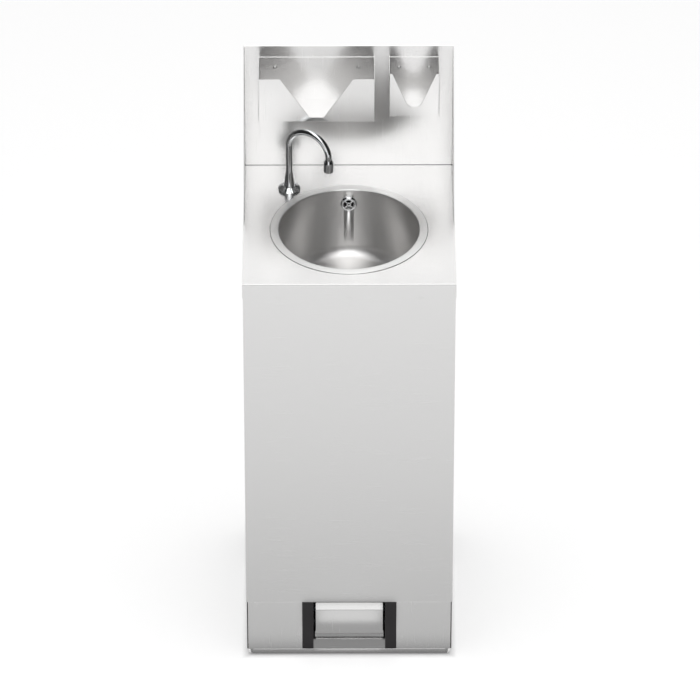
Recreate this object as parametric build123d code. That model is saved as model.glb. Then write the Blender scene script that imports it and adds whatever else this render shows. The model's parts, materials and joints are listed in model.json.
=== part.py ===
from build123d import *
import math
import os

# Mobile hand wash station: a stainless cabinet with a round bowl, a swan-neck tap worked by a
# foot pump, two holders on the splashback and a plinth with front feet and rear wheels.
# Millimetres, +Z up, the front faces -Y, the origin is on the floor under the middle.

# Cabinet
WIDTH = 400.0
SETBACK = 404.0
WORKTOP_HEIGHT = 880.0
SHEET = 1.2
BEND_OUTER = 3.0
DOWNSTAND_DROP = 31.0
KICK_TOP = 130.0
FRONT_FLANGE = 17.0
REAR_FLANGE = 25.0
REAR_LIP = 18.0
REAR_RAIL = 60.0
SILL_RISE = 18.5
FLOOR_UPSTAND = 12.0
BRACE_HEIGHT = 30.0
BRACE_DEPTH = 24.0
BRACE_RISE = 15.0
BRACE_GAP = 1.5
RIVET_PITCH = 134.0
RIVET_SHANK_R = 1.6
RIVET_HEAD_R = 3.0
RIVET_PROUD = 0.5
RIVET_TAIL = 1.6

# Splashback
SPLASH_HEIGHT = 272.0
HEM_DROP = 12.0
EDGE_SHARE = 0.8
GUSSET_REACH = 205.0

# Bowl and waste
BOWL_R = 133.0
BOWL_FOOT_R = 130.0
BOWL_FLANGE_R = 149.6
BOWL_DEPTH = 145.0
BOWL_SHEET = 1.0
BOWL_LEAD = 18.0
BOWL_RIM_ROUND = 4.0
BOWL_FLOOR_ROUND = 22.0
CUTOUT_GAP = 0.5
WASTE_HOLE_R = 21.0
STRAINER_R = 32.0
STRAINER_THICK = 2.0
STRAINER_STEM_R = 19.0
STRAINER_STEM = 20.0
STRAINER_HOLE_R = 2.6
STRAINER_INNER_RING_R = 7.0
STRAINER_OUTER_RING_R = 13.5
STEM_FIT = 0.1
WASTE_BODY_R = 25.0
WASTE_BODY_HEIGHT = 38.0
WASTE_TAIL_R = 17.0
WASTE_TAIL = 36.0
WASTE_WALL = 2.5
WASTE_INLET_R = 10.0
WASTE_INLET_REACH = 34.0
WASTE_INLET_RISE = 12.0
GASKET_R = 28.0
GASKET_THICK = 3.0

# Overflow
OVERFLOW_DROP = 31.0
OVERFLOW_R = 16.0
OVERFLOW_OPEN_R = 10.0
OVERFLOW_PROUD = 3.0
OVERFLOW_BAR = 2.6
OVERFLOW_BAR_SET = 1.0
OVERFLOW_HUB_R = 4.5
OVERFLOW_SCREW_R = 1.6
OVERFLOW_SEAT = 9.0
OVERFLOW_FIT = 0.05
ELBOW_FLANGE_R = 19.0
ELBOW_R = 11.0
ELBOW_BORE_R = 8.0
ELBOW_REACH = 27.0
ELBOW_DROP = 21.0

# Tap
TAP_X = -114.0
TAP_TO_SPLASH = 83.0
TAP_SWIVEL = 60.0
ROSETTE_R = 21.0
ROSETTE_EDGE = 3.5
ROSETTE_HEIGHT = 9.0
ROSETTE_TOP_R = 11.0
SHANK_R = 10.0
SHANK_DROP = 40.0
SPIGOT_R = 8.0
SPIGOT_LENGTH = 26.0
SPIGOT_FIT = 0.05
WATERWAY_R = 4.6
SLEEVE_BASE_R = 10.0
SLEEVE_TOP_R = 6.6
SLEEVE_HEIGHT = 31.0
PIPE_R = 6.1
ARCH_R = 43.5
ARCH_SPRING = 98.9
AERATOR_R = 9.2
AERATOR_LENGTH = 25.0
AERATOR_BOTTOM = 70.0
AERATOR_WALL = 1.6
AERATOR_SHOULDER = 5.5
AERATOR_LAND = 0.6
AERATOR_MESH_RISE = 3.0
AERATOR_MESH_THICK = 2.0
BACKNUT_FLATS = 27.0
BACKNUT_THICK = 8.0
WASHER_R = 17.0
WASHER_THICK = 2.0
RUN_GAP = 0.3

# Holders on the splashback
HOLDER_TOP_DROP = 25.0
HOLDER_HEIGHT = 95.0
HOLDER_BEND = 1.5
TOWEL_SIDE_GAP = 28.5
TOWEL_WIDTH = 221.0
TOWEL_DEPTH = 80.0
TOWEL_NOTCH_TOP = 136.7
TOWEL_NOTCH_BOTTOM = 28.0
TOWEL_NOTCH_DEPTH = 85.0
TOWEL_SCREW_INSET = 31.0
SOAP_SIDE_GAP = 27.8
SOAP_WIDTH = 95.5
SOAP_DEPTH = 62.0
SOAP_NOTCH_TOP = 82.0
SOAP_NOTCH_BOTTOM = 24.0
SOAP_NOTCH_DEPTH = 72.0
SOAP_NOTCH_ROUND = 11.0
SOAP_SCREW_INSET = 19.0
SCREW_DROP = 24.0

# Screws and nuts
SCREW_R = 2.4
SCREW_HOLE_R = 2.5
SCREW_HEAD_R = 4.0
SCREW_HEAD_HEIGHT = 2.2
SOCKET_FLATS = 2.6
SOCKET_DEEP = 1.2
NUT_FLATS = 8.0
NUT_THICK = 4.0

# Rear door
DOOR_GAP = 1.5
DOOR_FOLD = 15.0
VENT_LENGTH = 110.0
VENT_HEIGHT = 5.0
VENT_PITCH = 14.0
VENT_COUNT = 5
VENT_INSET = 45.0
HINGE_LENGTH = 60.0
HINGE_INSET = 120.0
HINGE_LEAF = 22.0
HINGE_LEAF_THICK = 1.2
KNUCKLE_R = 3.2
KNUCKLE_STANDOFF = 3.5
HINGE_PIN_R = 1.6
HINGE_PIN_PROUD = 1.0
PIN_FIT = 0.05
LOCK_INSET = 25.0
LOCK_R = 9.5
LOCK_HEAD_R = 12.5
LOCK_HEAD_PROUD = 2.5
LOCK_LENGTH = 16.2
LOCK_PLUG_R = 6.0
CAM_REACH = 31.0
CAM_WIDTH = 14.0
CAM_THICK = 2.0
KEYWAY_WIDTH = 1.6
KEYWAY_LENGTH = 7.0
KEYWAY_DEEP = 4.0

# Rear handle
HANDLE_R = 9.5
HANDLE_SPAN = 190.0
HANDLE_STANDOFF = 48.0
HANDLE_BEND = 26.0
HANDLE_FLANGE_R = 20.0
HANDLE_FLANGE_THICK = 3.0
HANDLE_SCREW_OFFSET = 14.5

# Plinth, tray and feet
TRAY_TOP = 15.0
TRAY_LIP = 11.5
TRAY_INSET = 2.5
TRAY_CORNER = 12.0
TRAY_TO_BAY = 1.2
KICK_INSET = 3.0
KICK_REVEAL = 21.5
PLINTH_INSET = 1.0
PLINTH_WALL = 3.0
WELL_WIDTH = 140.0
WELL_DEPTH = 240.0
FOOT_R = 15.0
FOOT_INSET = 50.0
FOOT_DEPTH = 42.0
FOOT_BEVEL = 1.5

# Wheels
WHEEL_R = 50.0
WHEEL_WIDTH = 28.0
WHEEL_INSET = 34.0
AXLE_INSET = 42.0
AXLE_R = 6.0
AXLE_FIT = 0.05
TYRE_INNER_R = 38.0
TYRE_ROUND = 6.0
TYRE_GROOVES = 3
TYRE_GROOVE_WIDTH = 2.2
TYRE_GROOVE_DEEP = 1.6
TYRE_GROOVE_PITCH = 6.2
HUB_WEB = 6.0
HUB_RIM = 4.0
HUB_BOSS_R = 12.0
HUB_HOLES = 6
HUB_HOLE_R = 6.5
HUB_SIDE_GAP = 1.0
BAY_WIDTH = 61.0
WHEEL_ARCH = 22.0
AXLE_CAP_R = 10.0
AXLE_CAP_PROUD = 2.0

# Foot pedal
PEDAL_SIDE_GAP = 4.5
PEDAL_SHEET = 1.5
PEDAL_BEND = 2.5
PEDAL_FACE = 40.0
PEDAL_TOP = 93.0
PEDAL_TOE = 13.0
PEDAL_BOTTOM = 24.0
PEDAL_TO_WELL = 14.0
PEDAL_FLANGE = 24.0
PEDAL_FLANGE_ROUND = 8.0
PEDAL_FLANGE_SETBACK = 30.0
PIVOT_TO_WELL = 28.0
PIVOT_BELOW_TREAD = 12.0
PIVOT_R = 5.0
PIVOT_PIN_PROUD = 1.0
BRACKET_EYE_R = 9.0
BRACKET_THICK = 3.0
BRACKET_WIDTH = 26.0
BRACKET_GAP = 1.0
BRACKET_FOOT = 16.0
SLOT_CLEAR = 1.2
SLOT_DEPTH = 18.0

# Foot pump
PUMP_DEPTH = 112.0
PUMP_R = 22.0
PUMP_HEIGHT = 30.0
PUMP_BORE_R = 18.0
PUMP_BASE = 3.0
PUMP_FLANGE_R = 28.0
PUMP_CAP_HEIGHT = 6.0
PUMP_PORT_R = 8.0
PUMP_PORT_REACH = 32.0
PUMP_PORT_RISE = 14.0
PISTON_R = 17.95
PISTON_HEIGHT = 7.0
PISTON_RISE = 15.0
PLUNGER_R = 5.0
PLUNGER_FIT = 0.05
PLUNGER_HEAD_R = 13.0
PLUNGER_HEAD = 5.0
PLUNGER_DOME_R = 30.0
SPRING_WIRE_R = 0.9
SPRING_R = 10.5
SPRING_TURNS = 5

# Tanks
TANK_HEIGHT = 300.0
TANK_WALL = 2.5
TANK_CORNER = 22.0
TANK_SHOULDER = 10.0
TANK_FRONT = 100.0
TANK_REAR_GAP = 34.0
TANK_MIDDLE_GAP = 8.0
TANK_OUTER_GAP = 12.0
NECK_R = 24.0
NECK_HEIGHT = 18.0
NECK_DEPTH = 70.0
CAP_R = 30.0
CAP_WALL = 3.0
CAP_HEIGHT = 20.0
GRIP_TO_CAP = 30.0
GRIP_REAR_INSET = 20.0
GRIP_WIDTH = 24.0
GRIP_HEIGHT = 34.0
GRIP_THICK = 12.0
DIP_CLEAR = 8.0

# Hoses
WATER_HOSE_R = 6.0
WATER_HOSE_BORE_R = 4.5
WASTE_HOSE_R = 17.0
WASTE_HOSE_BORE_R = 14.0
OVERFLOW_HOSE_R = 10.0
OVERFLOW_HOSE_BORE_R = 8.0
HOSE_HOLE_R = 9.0
RISER_INSET = 50.0
RISER_DEPTH = 62.0
ARC_SHARE = 0.45
CLIP_THICK = 0.8
CLIP_WIDTH = 7.0
CLIP_SET_IN = 6.0

# Worked-out places
BODY_DEPTH = SETBACK + SHEET
HANDLE_REACH = HANDLE_STANDOFF + HANDLE_R
FRONT_Y = RIVET_PROUD - (RIVET_PROUD + BODY_DEPTH + HANDLE_REACH) / 2
HALF = WIDTH / 2
DECK_UNDER = WORKTOP_HEIGHT - SHEET
SPLASH_TOP = WORKTOP_HEIGHT + SPLASH_HEIGHT
RAIL_BOTTOM = WORKTOP_HEIGHT - REAR_RAIL
BOWL_CENTRE = SETBACK / 2 - BOWL_LEAD
RIM_TOP = WORKTOP_HEIGHT + BOWL_SHEET
BOWL_FLOOR = WORKTOP_HEIGHT - BOWL_DEPTH
TAP_DEPTH = SETBACK - TAP_TO_SPLASH
TOWEL_LEFT = TOWEL_SIDE_GAP - HALF
SOAP_LEFT = HALF - SOAP_SIDE_GAP - SOAP_WIDTH
HOLDER_TOP = SPLASH_TOP - HOLDER_TOP_DROP
HOLDER_BOTTOM = HOLDER_TOP - HOLDER_HEIGHT
SCREW_Z = HOLDER_TOP - SCREW_DROP
CABINET_FLOOR_TOP = KICK_TOP + SHEET
TANK_WIDTH = HALF - TANK_MIDDLE_GAP - TANK_OUTER_GAP
TANK_REAR = SETBACK - TANK_REAR_GAP
RISER_X = HALF - RISER_INSET
PLINTH_HALF = HALF - PLINTH_INSET
BAY_INNER = PLINTH_HALF - BAY_WIDTH
AXLE_DEPTH = BODY_DEPTH - AXLE_INSET
WHEEL_X = PLINTH_HALF - WHEEL_INSET
PEDAL_WIDTH = WELL_WIDTH - 2 * PEDAL_SIDE_GAP
PEDAL_REAR = WELL_DEPTH - PEDAL_TO_WELL
PIVOT_DEPTH = WELL_DEPTH - PIVOT_TO_WELL
PIVOT_Z = PEDAL_TOP - PIVOT_BELOW_TREAD

os.makedirs("parts", exist_ok=True)


# Shared shapes

def at(x, depth, z):
    """A point given by its depth behind the front panel's face."""
    return Vector(x, FRONT_Y + depth, z)


def block(x_low, x_high, depth_low, depth_high, z_low, z_high):
    """A box between two widths, two depths and two heights."""
    middle = at((x_low + x_high) / 2, (depth_low + depth_high) / 2, (z_low + z_high) / 2)
    return Pos(middle) * Box(x_high - x_low, depth_high - depth_low, z_high - z_low)


def rod(start, direction, radius, length):
    """A round bar that starts at a point and runs along a direction."""
    plane = Plane(origin=start, z_dir=direction)
    return plane * Cylinder(radius, length, align=(Align.CENTER, Align.CENTER, Align.MIN))


def tube(start, direction, radius, bore, length):
    """A round bar with a bore right through it."""
    return rod(start, direction, radius, length) - rod(start, direction, bore, length)


def hexagon(start, direction, flats, length):
    """A hexagonal bar, sized across its flats."""
    plane = Plane(origin=start, z_dir=direction)
    return extrude(plane * RegularPolygon(flats / math.sqrt(3), 6), length)


def turned(profile, centre):
    """A solid turned about a vertical axis from an outline of radii and heights."""
    section = make_face(Polyline(*profile, close=True))
    return Pos(centre) * revolve(Plane.XZ * section, Axis.Z)


def folded(points, radius, sheet, length, plane, side):
    """A bent sheet: its outer line, thickened to one side and run along the plane's normal."""
    outline = offset(FilletPolyline(*points, radius=radius), amount=sheet, side=side)
    return extrude(plane * make_face(outline), length)


def arc_radii(points):
    """The radius of each corner of a hose's route, as large as its two runs allow."""
    radii = []
    for before, corner, after in zip(points, points[1:], points[2:]):
        turn = (corner - before).get_angle(after - corner)
        shorter = min((corner - before).length, (after - corner).length)
        radii.append(ARC_SHARE * shorter / math.tan(math.radians(turn) / 2))
    return radii


def hose(name, points, radius, bore):
    """A hose along straight runs joined by tangent arcs, with its bore."""
    radii = arc_radii(points)
    path = FilletPolyline(*points, radius=radii)
    ring = Circle(radius) - Circle(bore)
    shape = sweep(Plane(origin=path @ 0, z_dir=path % 0) * ring, path=path)
    print(name, "length", round(path.length, 1), "radii", [round(value) for value in radii])
    return shape


def hose_clip(start, direction, hose_radius):
    """A worm-drive clip round a hose, set in a little from the hose's end."""
    seat = start + direction * CLIP_SET_IN
    return tube(seat, direction, hose_radius + CLIP_THICK, hose_radius, CLIP_WIDTH)


def screw(start, direction, reach):
    """A button-head screw with a socket: the head stands back from start, the shank runs on."""
    back = direction * -1
    head = rod(start, back, SCREW_HEAD_R, SCREW_HEAD_HEIGHT)
    head = fillet(head.edges().sort_by(Axis(start, back))[-1], SCREW_HEAD_HEIGHT / 2)
    socket_seat = start + back * (SCREW_HEAD_HEIGHT - SOCKET_DEEP)
    head -= hexagon(socket_seat, back, SOCKET_FLATS, SOCKET_DEEP)
    return head + rod(start, direction, SCREW_R, reach)


def nut(start, direction):
    """A hexagon nut that fits a screw."""
    bore = rod(start, direction, SCREW_HOLE_R, NUT_THICK)
    return hexagon(start, direction, NUT_FLATS, NUT_THICK) - bore


def handed(sign, x_inner, x_outer):
    """Two widths in rising order, on the left side for -1 and the right side for 1."""
    return sorted((sign * x_inner, sign * x_outer))


FORWARD = Vector(0, -1, 0)
BACKWARD = Vector(0, 1, 0)
UP = Vector(0, 0, 1)
DOWN = Vector(0, 0, -1)
RIGHT = Vector(1, 0, 0)
LEFT = Vector(-1, 0, 0)


# Cabinet sheets

def worktop_and_front():
    """Deck and front panel folded from one sheet, with side downstands over the side panels."""
    line = [(FRONT_Y + SETBACK, WORKTOP_HEIGHT), (FRONT_Y, WORKTOP_HEIGHT), (FRONT_Y, KICK_TOP)]
    shape = Pos(-HALF, 0, 0) * folded(line, BEND_OUTER, SHEET, WIDTH, Plane.YZ, Side.LEFT)
    for sign in (-1, 1):
        x_low, x_high = handed(sign, HALF, HALF + SHEET)
        bottom = WORKTOP_HEIGHT - DOWNSTAND_DROP
        wing = block(x_low, x_high, 0, BODY_DEPTH, bottom, WORKTOP_HEIGHT)
        front_top = wing.edges().filter_by(Axis.X).group_by(Axis.Y)[0].sort_by(Axis.Z)[-1]
        shape += fillet(front_top, BEND_OUTER)
    shape -= rod(at(0, BOWL_CENTRE, DECK_UNDER), UP, bowl_cutout_r(), SHEET)
    shape -= rod(at(TAP_X, TAP_DEPTH, DECK_UNDER), UP, SHANK_R + RUN_GAP, SHEET)
    for x in rivet_places():
        shape -= rod(at(x, 0, rivet_height()), BACKWARD, RIVET_SHANK_R, SHEET)
    return shape


def bowl_cutout_r():
    return BOWL_R + BOWL_RIM_ROUND + CUTOUT_GAP


def rivet_places():
    return [-RIVET_PITCH, 0, RIVET_PITCH]


def rivet_height():
    return WORKTOP_HEIGHT - DOWNSTAND_DROP


def splashback():
    """Upright back sheet with a hem along its top and a rail that reaches down behind the deck."""
    above = block(-HALF, HALF, SETBACK, BODY_DEPTH, WORKTOP_HEIGHT, SPLASH_TOP)
    rail = block(SHEET - HALF, HALF - SHEET, SETBACK, BODY_DEPTH, RAIL_BOTTOM, WORKTOP_HEIGHT)
    hem = block(-HALF, HALF, BODY_DEPTH, BODY_DEPTH + SHEET, SPLASH_TOP - HEM_DROP, SPLASH_TOP)
    shape = above + rail + hem
    top_edges = shape.edges().filter_by(Axis.X).group_by(Axis.Z)[-1]
    shape = fillet(top_edges, SHEET * EDGE_SHARE)
    for x in holder_screw_places():
        shape -= rod(at(x, SETBACK, SCREW_Z), BACKWARD, SCREW_HOLE_R, SHEET)
    for x in handle_screw_places():
        shape -= rod(at(x, SETBACK, handle_height()), BACKWARD, SCREW_HOLE_R, SHEET)
    return shape


def splash_gusset(sign):
    """Triangular cheek that joins the splashback's end to the deck's edge."""
    corner = at(0, SETBACK, WORKTOP_HEIGHT)
    toe = at(0, SETBACK - GUSSET_REACH, WORKTOP_HEIGHT)
    top = at(0, SETBACK, SPLASH_TOP - SHEET)
    outline = make_face(Polyline((corner.Y, corner.Z), (toe.Y, toe.Z), (top.Y, top.Z), close=True))
    x_low = handed(sign, HALF - SHEET, HALF)[0]
    return Pos(x_low, 0, 0) * extrude(Plane.YZ * outline, SHEET)


def side_panel(sign):
    """Side sheet with a flange behind the front panel and a stepped flange round the doorway."""
    back = FRONT_Y + BODY_DEPTH
    line = [
        (-HALF + FRONT_FLANGE, FRONT_Y + SHEET),
        (-HALF, FRONT_Y + SHEET),
        (-HALF, back),
        (-HALF + REAR_FLANGE, back),
        (-HALF + REAR_FLANGE, back - REAR_LIP),
    ]
    length = DECK_UNDER - KICK_TOP
    shape = Pos(0, 0, KICK_TOP) * folded(line, BEND_OUTER, SHEET, length, Plane.XY, Side.RIGHT)
    behind_rail = block(SHEET - HALF, -HALF + REAR_FLANGE, SETBACK - REAR_LIP, BODY_DEPTH,
                        RAIL_BOTTOM, DECK_UNDER)
    shape -= behind_rail
    bend = BEND_OUTER - SHEET
    shape -= block(-HALF, -HALF + FRONT_FLANGE, SHEET, SHEET + bend, DECK_UNDER - bend, DECK_UNDER)
    if sign > 0:
        shape = mirror(shape, about=Plane.YZ)
    return shape


def cabinet_floor():
    """Pan that the tanks stand on, with an upstand at each side and the door's sill at the back."""
    inner = HALF - SHEET
    shape = block(-inner, inner, SHEET, SETBACK, KICK_TOP, CABINET_FLOOR_TOP)
    for sign in (-1, 1):
        x_low, x_high = handed(sign, inner - SHEET, inner)
        shape += block(x_low, x_high, sill_start(), SETBACK - REAR_LIP - SHEET, KICK_TOP,
                       CABINET_FLOOR_TOP + FLOOR_UPSTAND)
        shape -= rod(at(sign * RISER_X, RISER_DEPTH, KICK_TOP), UP, HOSE_HOLE_R, SHEET)
        corner_low, corner_high = handed(sign, HALF - REAR_FLANGE, HALF)
        shape -= block(corner_low, corner_high, SETBACK - REAR_LIP, BODY_DEPTH, KICK_TOP,
                       CABINET_FLOOR_TOP)
        flange_low, flange_high = handed(sign, HALF - FRONT_FLANGE, HALF)
        shape -= block(flange_low, flange_high, SHEET, sill_start(), KICK_TOP, CABINET_FLOOR_TOP)
    sill_half = HALF - REAR_FLANGE
    shape += block(-sill_half, sill_half, SETBACK, BODY_DEPTH, KICK_TOP, KICK_TOP + SILL_RISE)
    return shape


def sill_start():
    return 2 * SHEET + BEND_OUTER


def front_brace():
    """Angle behind the front panel's top that the three rivets hold."""
    end = HALF - FRONT_FLANGE - BRACE_GAP
    bottom = rivet_height() - BRACE_RISE
    shape = block(-end, end, SHEET, 2 * SHEET, bottom, bottom + BRACE_HEIGHT)
    shape += block(-end, end, SHEET, BRACE_DEPTH, bottom, bottom + SHEET)
    for x in rivet_places():
        shape -= rod(at(x, SHEET, rivet_height()), BACKWARD, RIVET_SHANK_R, SHEET)
    return shape


def front_rivets():
    """Three blind rivets with low heads on the front panel."""
    shapes = []
    for x in rivet_places():
        seat = at(x, 0, rivet_height())
        head = rod(seat, FORWARD, RIVET_HEAD_R, RIVET_PROUD)
        head = fillet(head.edges().sort_by(Axis.Y)[0], RIVET_PROUD * EDGE_SHARE)
        shank = rod(seat, BACKWARD, RIVET_SHANK_R, 2 * SHEET)
        tail = rod(seat + BACKWARD * (2 * SHEET), BACKWARD, RIVET_HEAD_R, RIVET_TAIL)
        shapes.append(head + shank + tail)
    return shapes


# Bowl, waste and overflow

def bowl():
    """Spun bowl: a flat rim on the deck, a tapered wall, a round foot and a hole for the waste."""
    line = [(BOWL_FLANGE_R, RIM_TOP), (BOWL_R, RIM_TOP), (BOWL_FOOT_R, BOWL_FLOOR),
            (WASTE_HOLE_R, BOWL_FLOOR)]
    radii = [BOWL_RIM_ROUND, BOWL_FLOOR_ROUND]
    section = make_face(offset(FilletPolyline(*line, radius=radii), amount=BOWL_SHEET,
                               side=Side.LEFT))
    shape = Pos(at(0, BOWL_CENTRE, 0)) * revolve(Plane.XZ * section, Axis.Z)
    return shape - rod(overflow_centre(), BACKWARD, OVERFLOW_OPEN_R, OVERFLOW_SEAT)


def bowl_wall_r(height):
    """The bowl's inner radius at a height on its tapered wall."""
    share = (RIM_TOP - height) / (RIM_TOP - BOWL_FLOOR)
    return BOWL_R - (BOWL_R - BOWL_FOOT_R) * share


def bowl_cone(grow):
    """A plug with the bowl's tapered wall, used to fit the overflow's pieces to it."""
    low = bowl_wall_r(BOWL_FLOOR) + grow
    high = bowl_wall_r(RIM_TOP) + grow
    height = RIM_TOP - BOWL_FLOOR
    cone = Cone(low, high, height, align=(Align.CENTER, Align.CENTER, Align.MIN))
    return Pos(at(0, BOWL_CENTRE, BOWL_FLOOR)) * cone


def overflow_centre():
    height = WORKTOP_HEIGHT - OVERFLOW_DROP
    return at(0, BOWL_CENTRE + bowl_wall_r(height) - OVERFLOW_PROUD, height)


def overflow_rosette():
    """Domed ring with a crossed grid and a small hub, seated on the bowl's back wall."""
    centre = overflow_centre()
    ring = rod(centre, BACKWARD, OVERFLOW_R, OVERFLOW_SEAT)
    ring = fillet(ring.edges().sort_by(Axis.Y)[0], OVERFLOW_PROUD * EDGE_SHARE)
    ring -= rod(centre, BACKWARD, OVERFLOW_OPEN_R, OVERFLOW_SEAT)
    bar_thick = OVERFLOW_PROUD - OVERFLOW_BAR_SET
    seat = centre + BACKWARD * (OVERFLOW_BAR_SET + bar_thick / 2)
    bar = Box(2 * OVERFLOW_OPEN_R + OVERFLOW_BAR, OVERFLOW_BAR, bar_thick)
    for turn in (45, 135):
        ring += Plane(origin=seat, x_dir=RIGHT, z_dir=BACKWARD) * Rot(0, 0, turn) * bar
    ring += rod(centre, BACKWARD, OVERFLOW_HUB_R, OVERFLOW_PROUD)
    ring -= rod(centre, BACKWARD, OVERFLOW_SCREW_R, OVERFLOW_PROUD / 2)
    return ring & bowl_cone(-OVERFLOW_FIT)


def elbow_corner():
    """The corner where the overflow elbow turns down."""
    return overflow_centre() + BACKWARD * (OVERFLOW_PROUD + ELBOW_REACH)


def overflow_elbow():
    """Moulded elbow behind the overflow: a flange on the bowl, a turn and a hose tail."""
    start = overflow_centre()
    corner = elbow_corner()
    flange = rod(start, BACKWARD, ELBOW_FLANGE_R, OVERFLOW_SEAT)
    run = OVERFLOW_PROUD + ELBOW_REACH
    body = rod(start, BACKWARD, ELBOW_R, run) + Pos(corner) * Sphere(ELBOW_R)
    body += rod(corner, DOWN, ELBOW_R, ELBOW_DROP)
    water = rod(start, BACKWARD, ELBOW_BORE_R, run) + Pos(corner) * Sphere(ELBOW_BORE_R)
    water += rod(corner, DOWN, ELBOW_BORE_R, ELBOW_DROP)
    return flange + body - water - bowl_cone(BOWL_SHEET + OVERFLOW_FIT)


def waste_top():
    return BOWL_FLOOR - BOWL_SHEET


def waste_strainer():
    """Dished strainer in the bowl's floor, with rings of holes over its stem."""
    centre = at(0, BOWL_CENTRE, BOWL_FLOOR)
    plate = rod(centre, UP, STRAINER_R, STRAINER_THICK)
    plate = fillet(plate.edges().sort_by(Axis.Z)[-1], STRAINER_THICK * EDGE_SHARE)
    stem = rod(centre, DOWN, STRAINER_STEM_R, STRAINER_STEM)
    well = rod(centre, DOWN, STRAINER_STEM_R - WASTE_WALL, STRAINER_STEM)
    shape = plate + stem - well
    for count, radius in ((1, 0), (6, STRAINER_INNER_RING_R), (12, STRAINER_OUTER_RING_R)):
        for index in range(count):
            turn = math.radians(360 / count * index)
            offset_x = radius * math.cos(turn)
            offset_y = radius * math.sin(turn)
            hole = centre + Vector(offset_x, offset_y, 0)
            shape -= rod(hole, UP, STRAINER_HOLE_R, STRAINER_THICK)
    return shape


def waste_gasket():
    """Rubber ring between the bowl's underside and the waste body."""
    top = at(0, BOWL_CENTRE, waste_top())
    return tube(top, DOWN, GASKET_R, STRAINER_STEM_R + STEM_FIT, GASKET_THICK)


def waste_body_top():
    return waste_top() - GASKET_THICK


def waste_tail_end():
    return waste_body_top() - WASTE_BODY_HEIGHT - WASTE_TAIL


def overflow_inlet_height():
    return waste_body_top() - WASTE_BODY_HEIGHT + WASTE_INLET_RISE


def waste_body():
    """Moulded waste: a cup under the bowl, a tail for the hose and a side inlet."""
    top = at(0, BOWL_CENTRE, waste_body_top())
    side = at(0, BOWL_CENTRE, overflow_inlet_height())
    shape = rod(top, DOWN, WASTE_BODY_R, WASTE_BODY_HEIGHT)
    shape += rod(top, DOWN, WASTE_TAIL_R, WASTE_BODY_HEIGHT + WASTE_TAIL)
    shape += rod(side, BACKWARD, WASTE_INLET_R, WASTE_INLET_REACH)
    shape -= rod(top, DOWN, STRAINER_STEM_R + STEM_FIT, WASTE_BODY_HEIGHT - WASTE_WALL)
    shape -= rod(top, DOWN, WASTE_HOSE_BORE_R, WASTE_BODY_HEIGHT + WASTE_TAIL)
    shape -= rod(side, BACKWARD, OVERFLOW_HOSE_BORE_R, WASTE_INLET_REACH)
    return shape


# Tap

def tap_point(height):
    return at(TAP_X, TAP_DEPTH, height)


def tap_base():
    """Conical rosette with the threaded shank below it and a socket for the spout."""
    top = WORKTOP_HEIGHT + ROSETTE_HEIGHT
    bottom = WORKTOP_HEIGHT - SHANK_DROP
    socket = top - SPIGOT_LENGTH - RUN_GAP
    bore = SPIGOT_R + SPIGOT_FIT
    profile = [
        (WATERWAY_R, bottom), (SHANK_R, bottom), (SHANK_R, WORKTOP_HEIGHT),
        (ROSETTE_R, WORKTOP_HEIGHT), (ROSETTE_R, WORKTOP_HEIGHT + ROSETTE_EDGE),
        (ROSETTE_TOP_R, top), (bore, top), (bore, socket), (WATERWAY_R, socket),
    ]
    return turned(profile, at(TAP_X, TAP_DEPTH, 0))


def tap_backnut():
    """Washer and hexagon backnut under the deck."""
    under = tap_point(DECK_UNDER)
    washer = tube(under, DOWN, WASHER_R, SHANK_R + SPIGOT_FIT, WASHER_THICK)
    seat = under + DOWN * WASHER_THICK
    bore = rod(seat, DOWN, SHANK_R + SPIGOT_FIT, BACKNUT_THICK)
    return [washer, hexagon(seat, DOWN, BACKNUT_FLATS, BACKNUT_THICK) - bore]


def spout_direction():
    """The level direction that the spout points in at rest."""
    turn = math.radians(TAP_SWIVEL)
    return Vector(math.sin(turn), -math.cos(turn), 0)


def tap_spout():
    """Swan-neck spout: a spigot in the base, a tapered sleeve and a bent pipe."""
    sleeve_bottom = WORKTOP_HEIGHT + ROSETTE_HEIGHT + RUN_GAP
    sleeve_top = sleeve_bottom + SLEEVE_HEIGHT
    foot = WORKTOP_HEIGHT + ROSETTE_HEIGHT - SPIGOT_LENGTH
    springing = WORKTOP_HEIGHT + ARCH_SPRING
    profile = [
        (WATERWAY_R, foot), (SPIGOT_R, foot), (SPIGOT_R, sleeve_bottom),
        (SLEEVE_BASE_R, sleeve_bottom), (SLEEVE_TOP_R, sleeve_top), (WATERWAY_R, sleeve_top),
    ]
    shape = turned(profile, at(TAP_X, TAP_DEPTH, 0))
    start = tap_point(sleeve_top)
    spring = tap_point(springing)
    outward = spout_direction()
    crown = spring + outward * ARCH_R + UP * ARCH_R
    landing = spring + outward * (2 * ARCH_R)
    tip = landing + DOWN * (springing - WORKTOP_HEIGHT - AERATOR_BOTTOM - AERATOR_LENGTH)
    path = Line(start, spring) + ThreePointArc(spring, crown, landing) + Line(landing, tip)
    ring = Circle(PIPE_R) - Circle(WATERWAY_R)
    return shape + sweep(Plane(origin=start, z_dir=UP) * ring, path=path)


def aerator_top():
    landing = tap_point(WORKTOP_HEIGHT) + spout_direction() * (2 * ARCH_R)
    return landing + UP * (AERATOR_BOTTOM + AERATOR_LENGTH)


def tap_aerator():
    """Chrome aerator with a shoulder on the pipe's end and a fine grid inside."""
    top = aerator_top()
    end = top.Z - AERATOR_LENGTH
    bore = AERATOR_R - AERATOR_WALL
    mesh_low = end + AERATOR_MESH_RISE
    mesh_high = mesh_low + AERATOR_MESH_THICK
    profile = [
        (0, mesh_low), (bore, mesh_low), (bore, end), (AERATOR_R, end),
        (AERATOR_R, top.Z - AERATOR_SHOULDER), (PIPE_R + AERATOR_LAND, top.Z),
        (WATERWAY_R, top.Z), (WATERWAY_R, mesh_high), (0, mesh_high),
    ]
    return turned(profile, Vector(top.X, top.Y, 0))


# Holders

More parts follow.
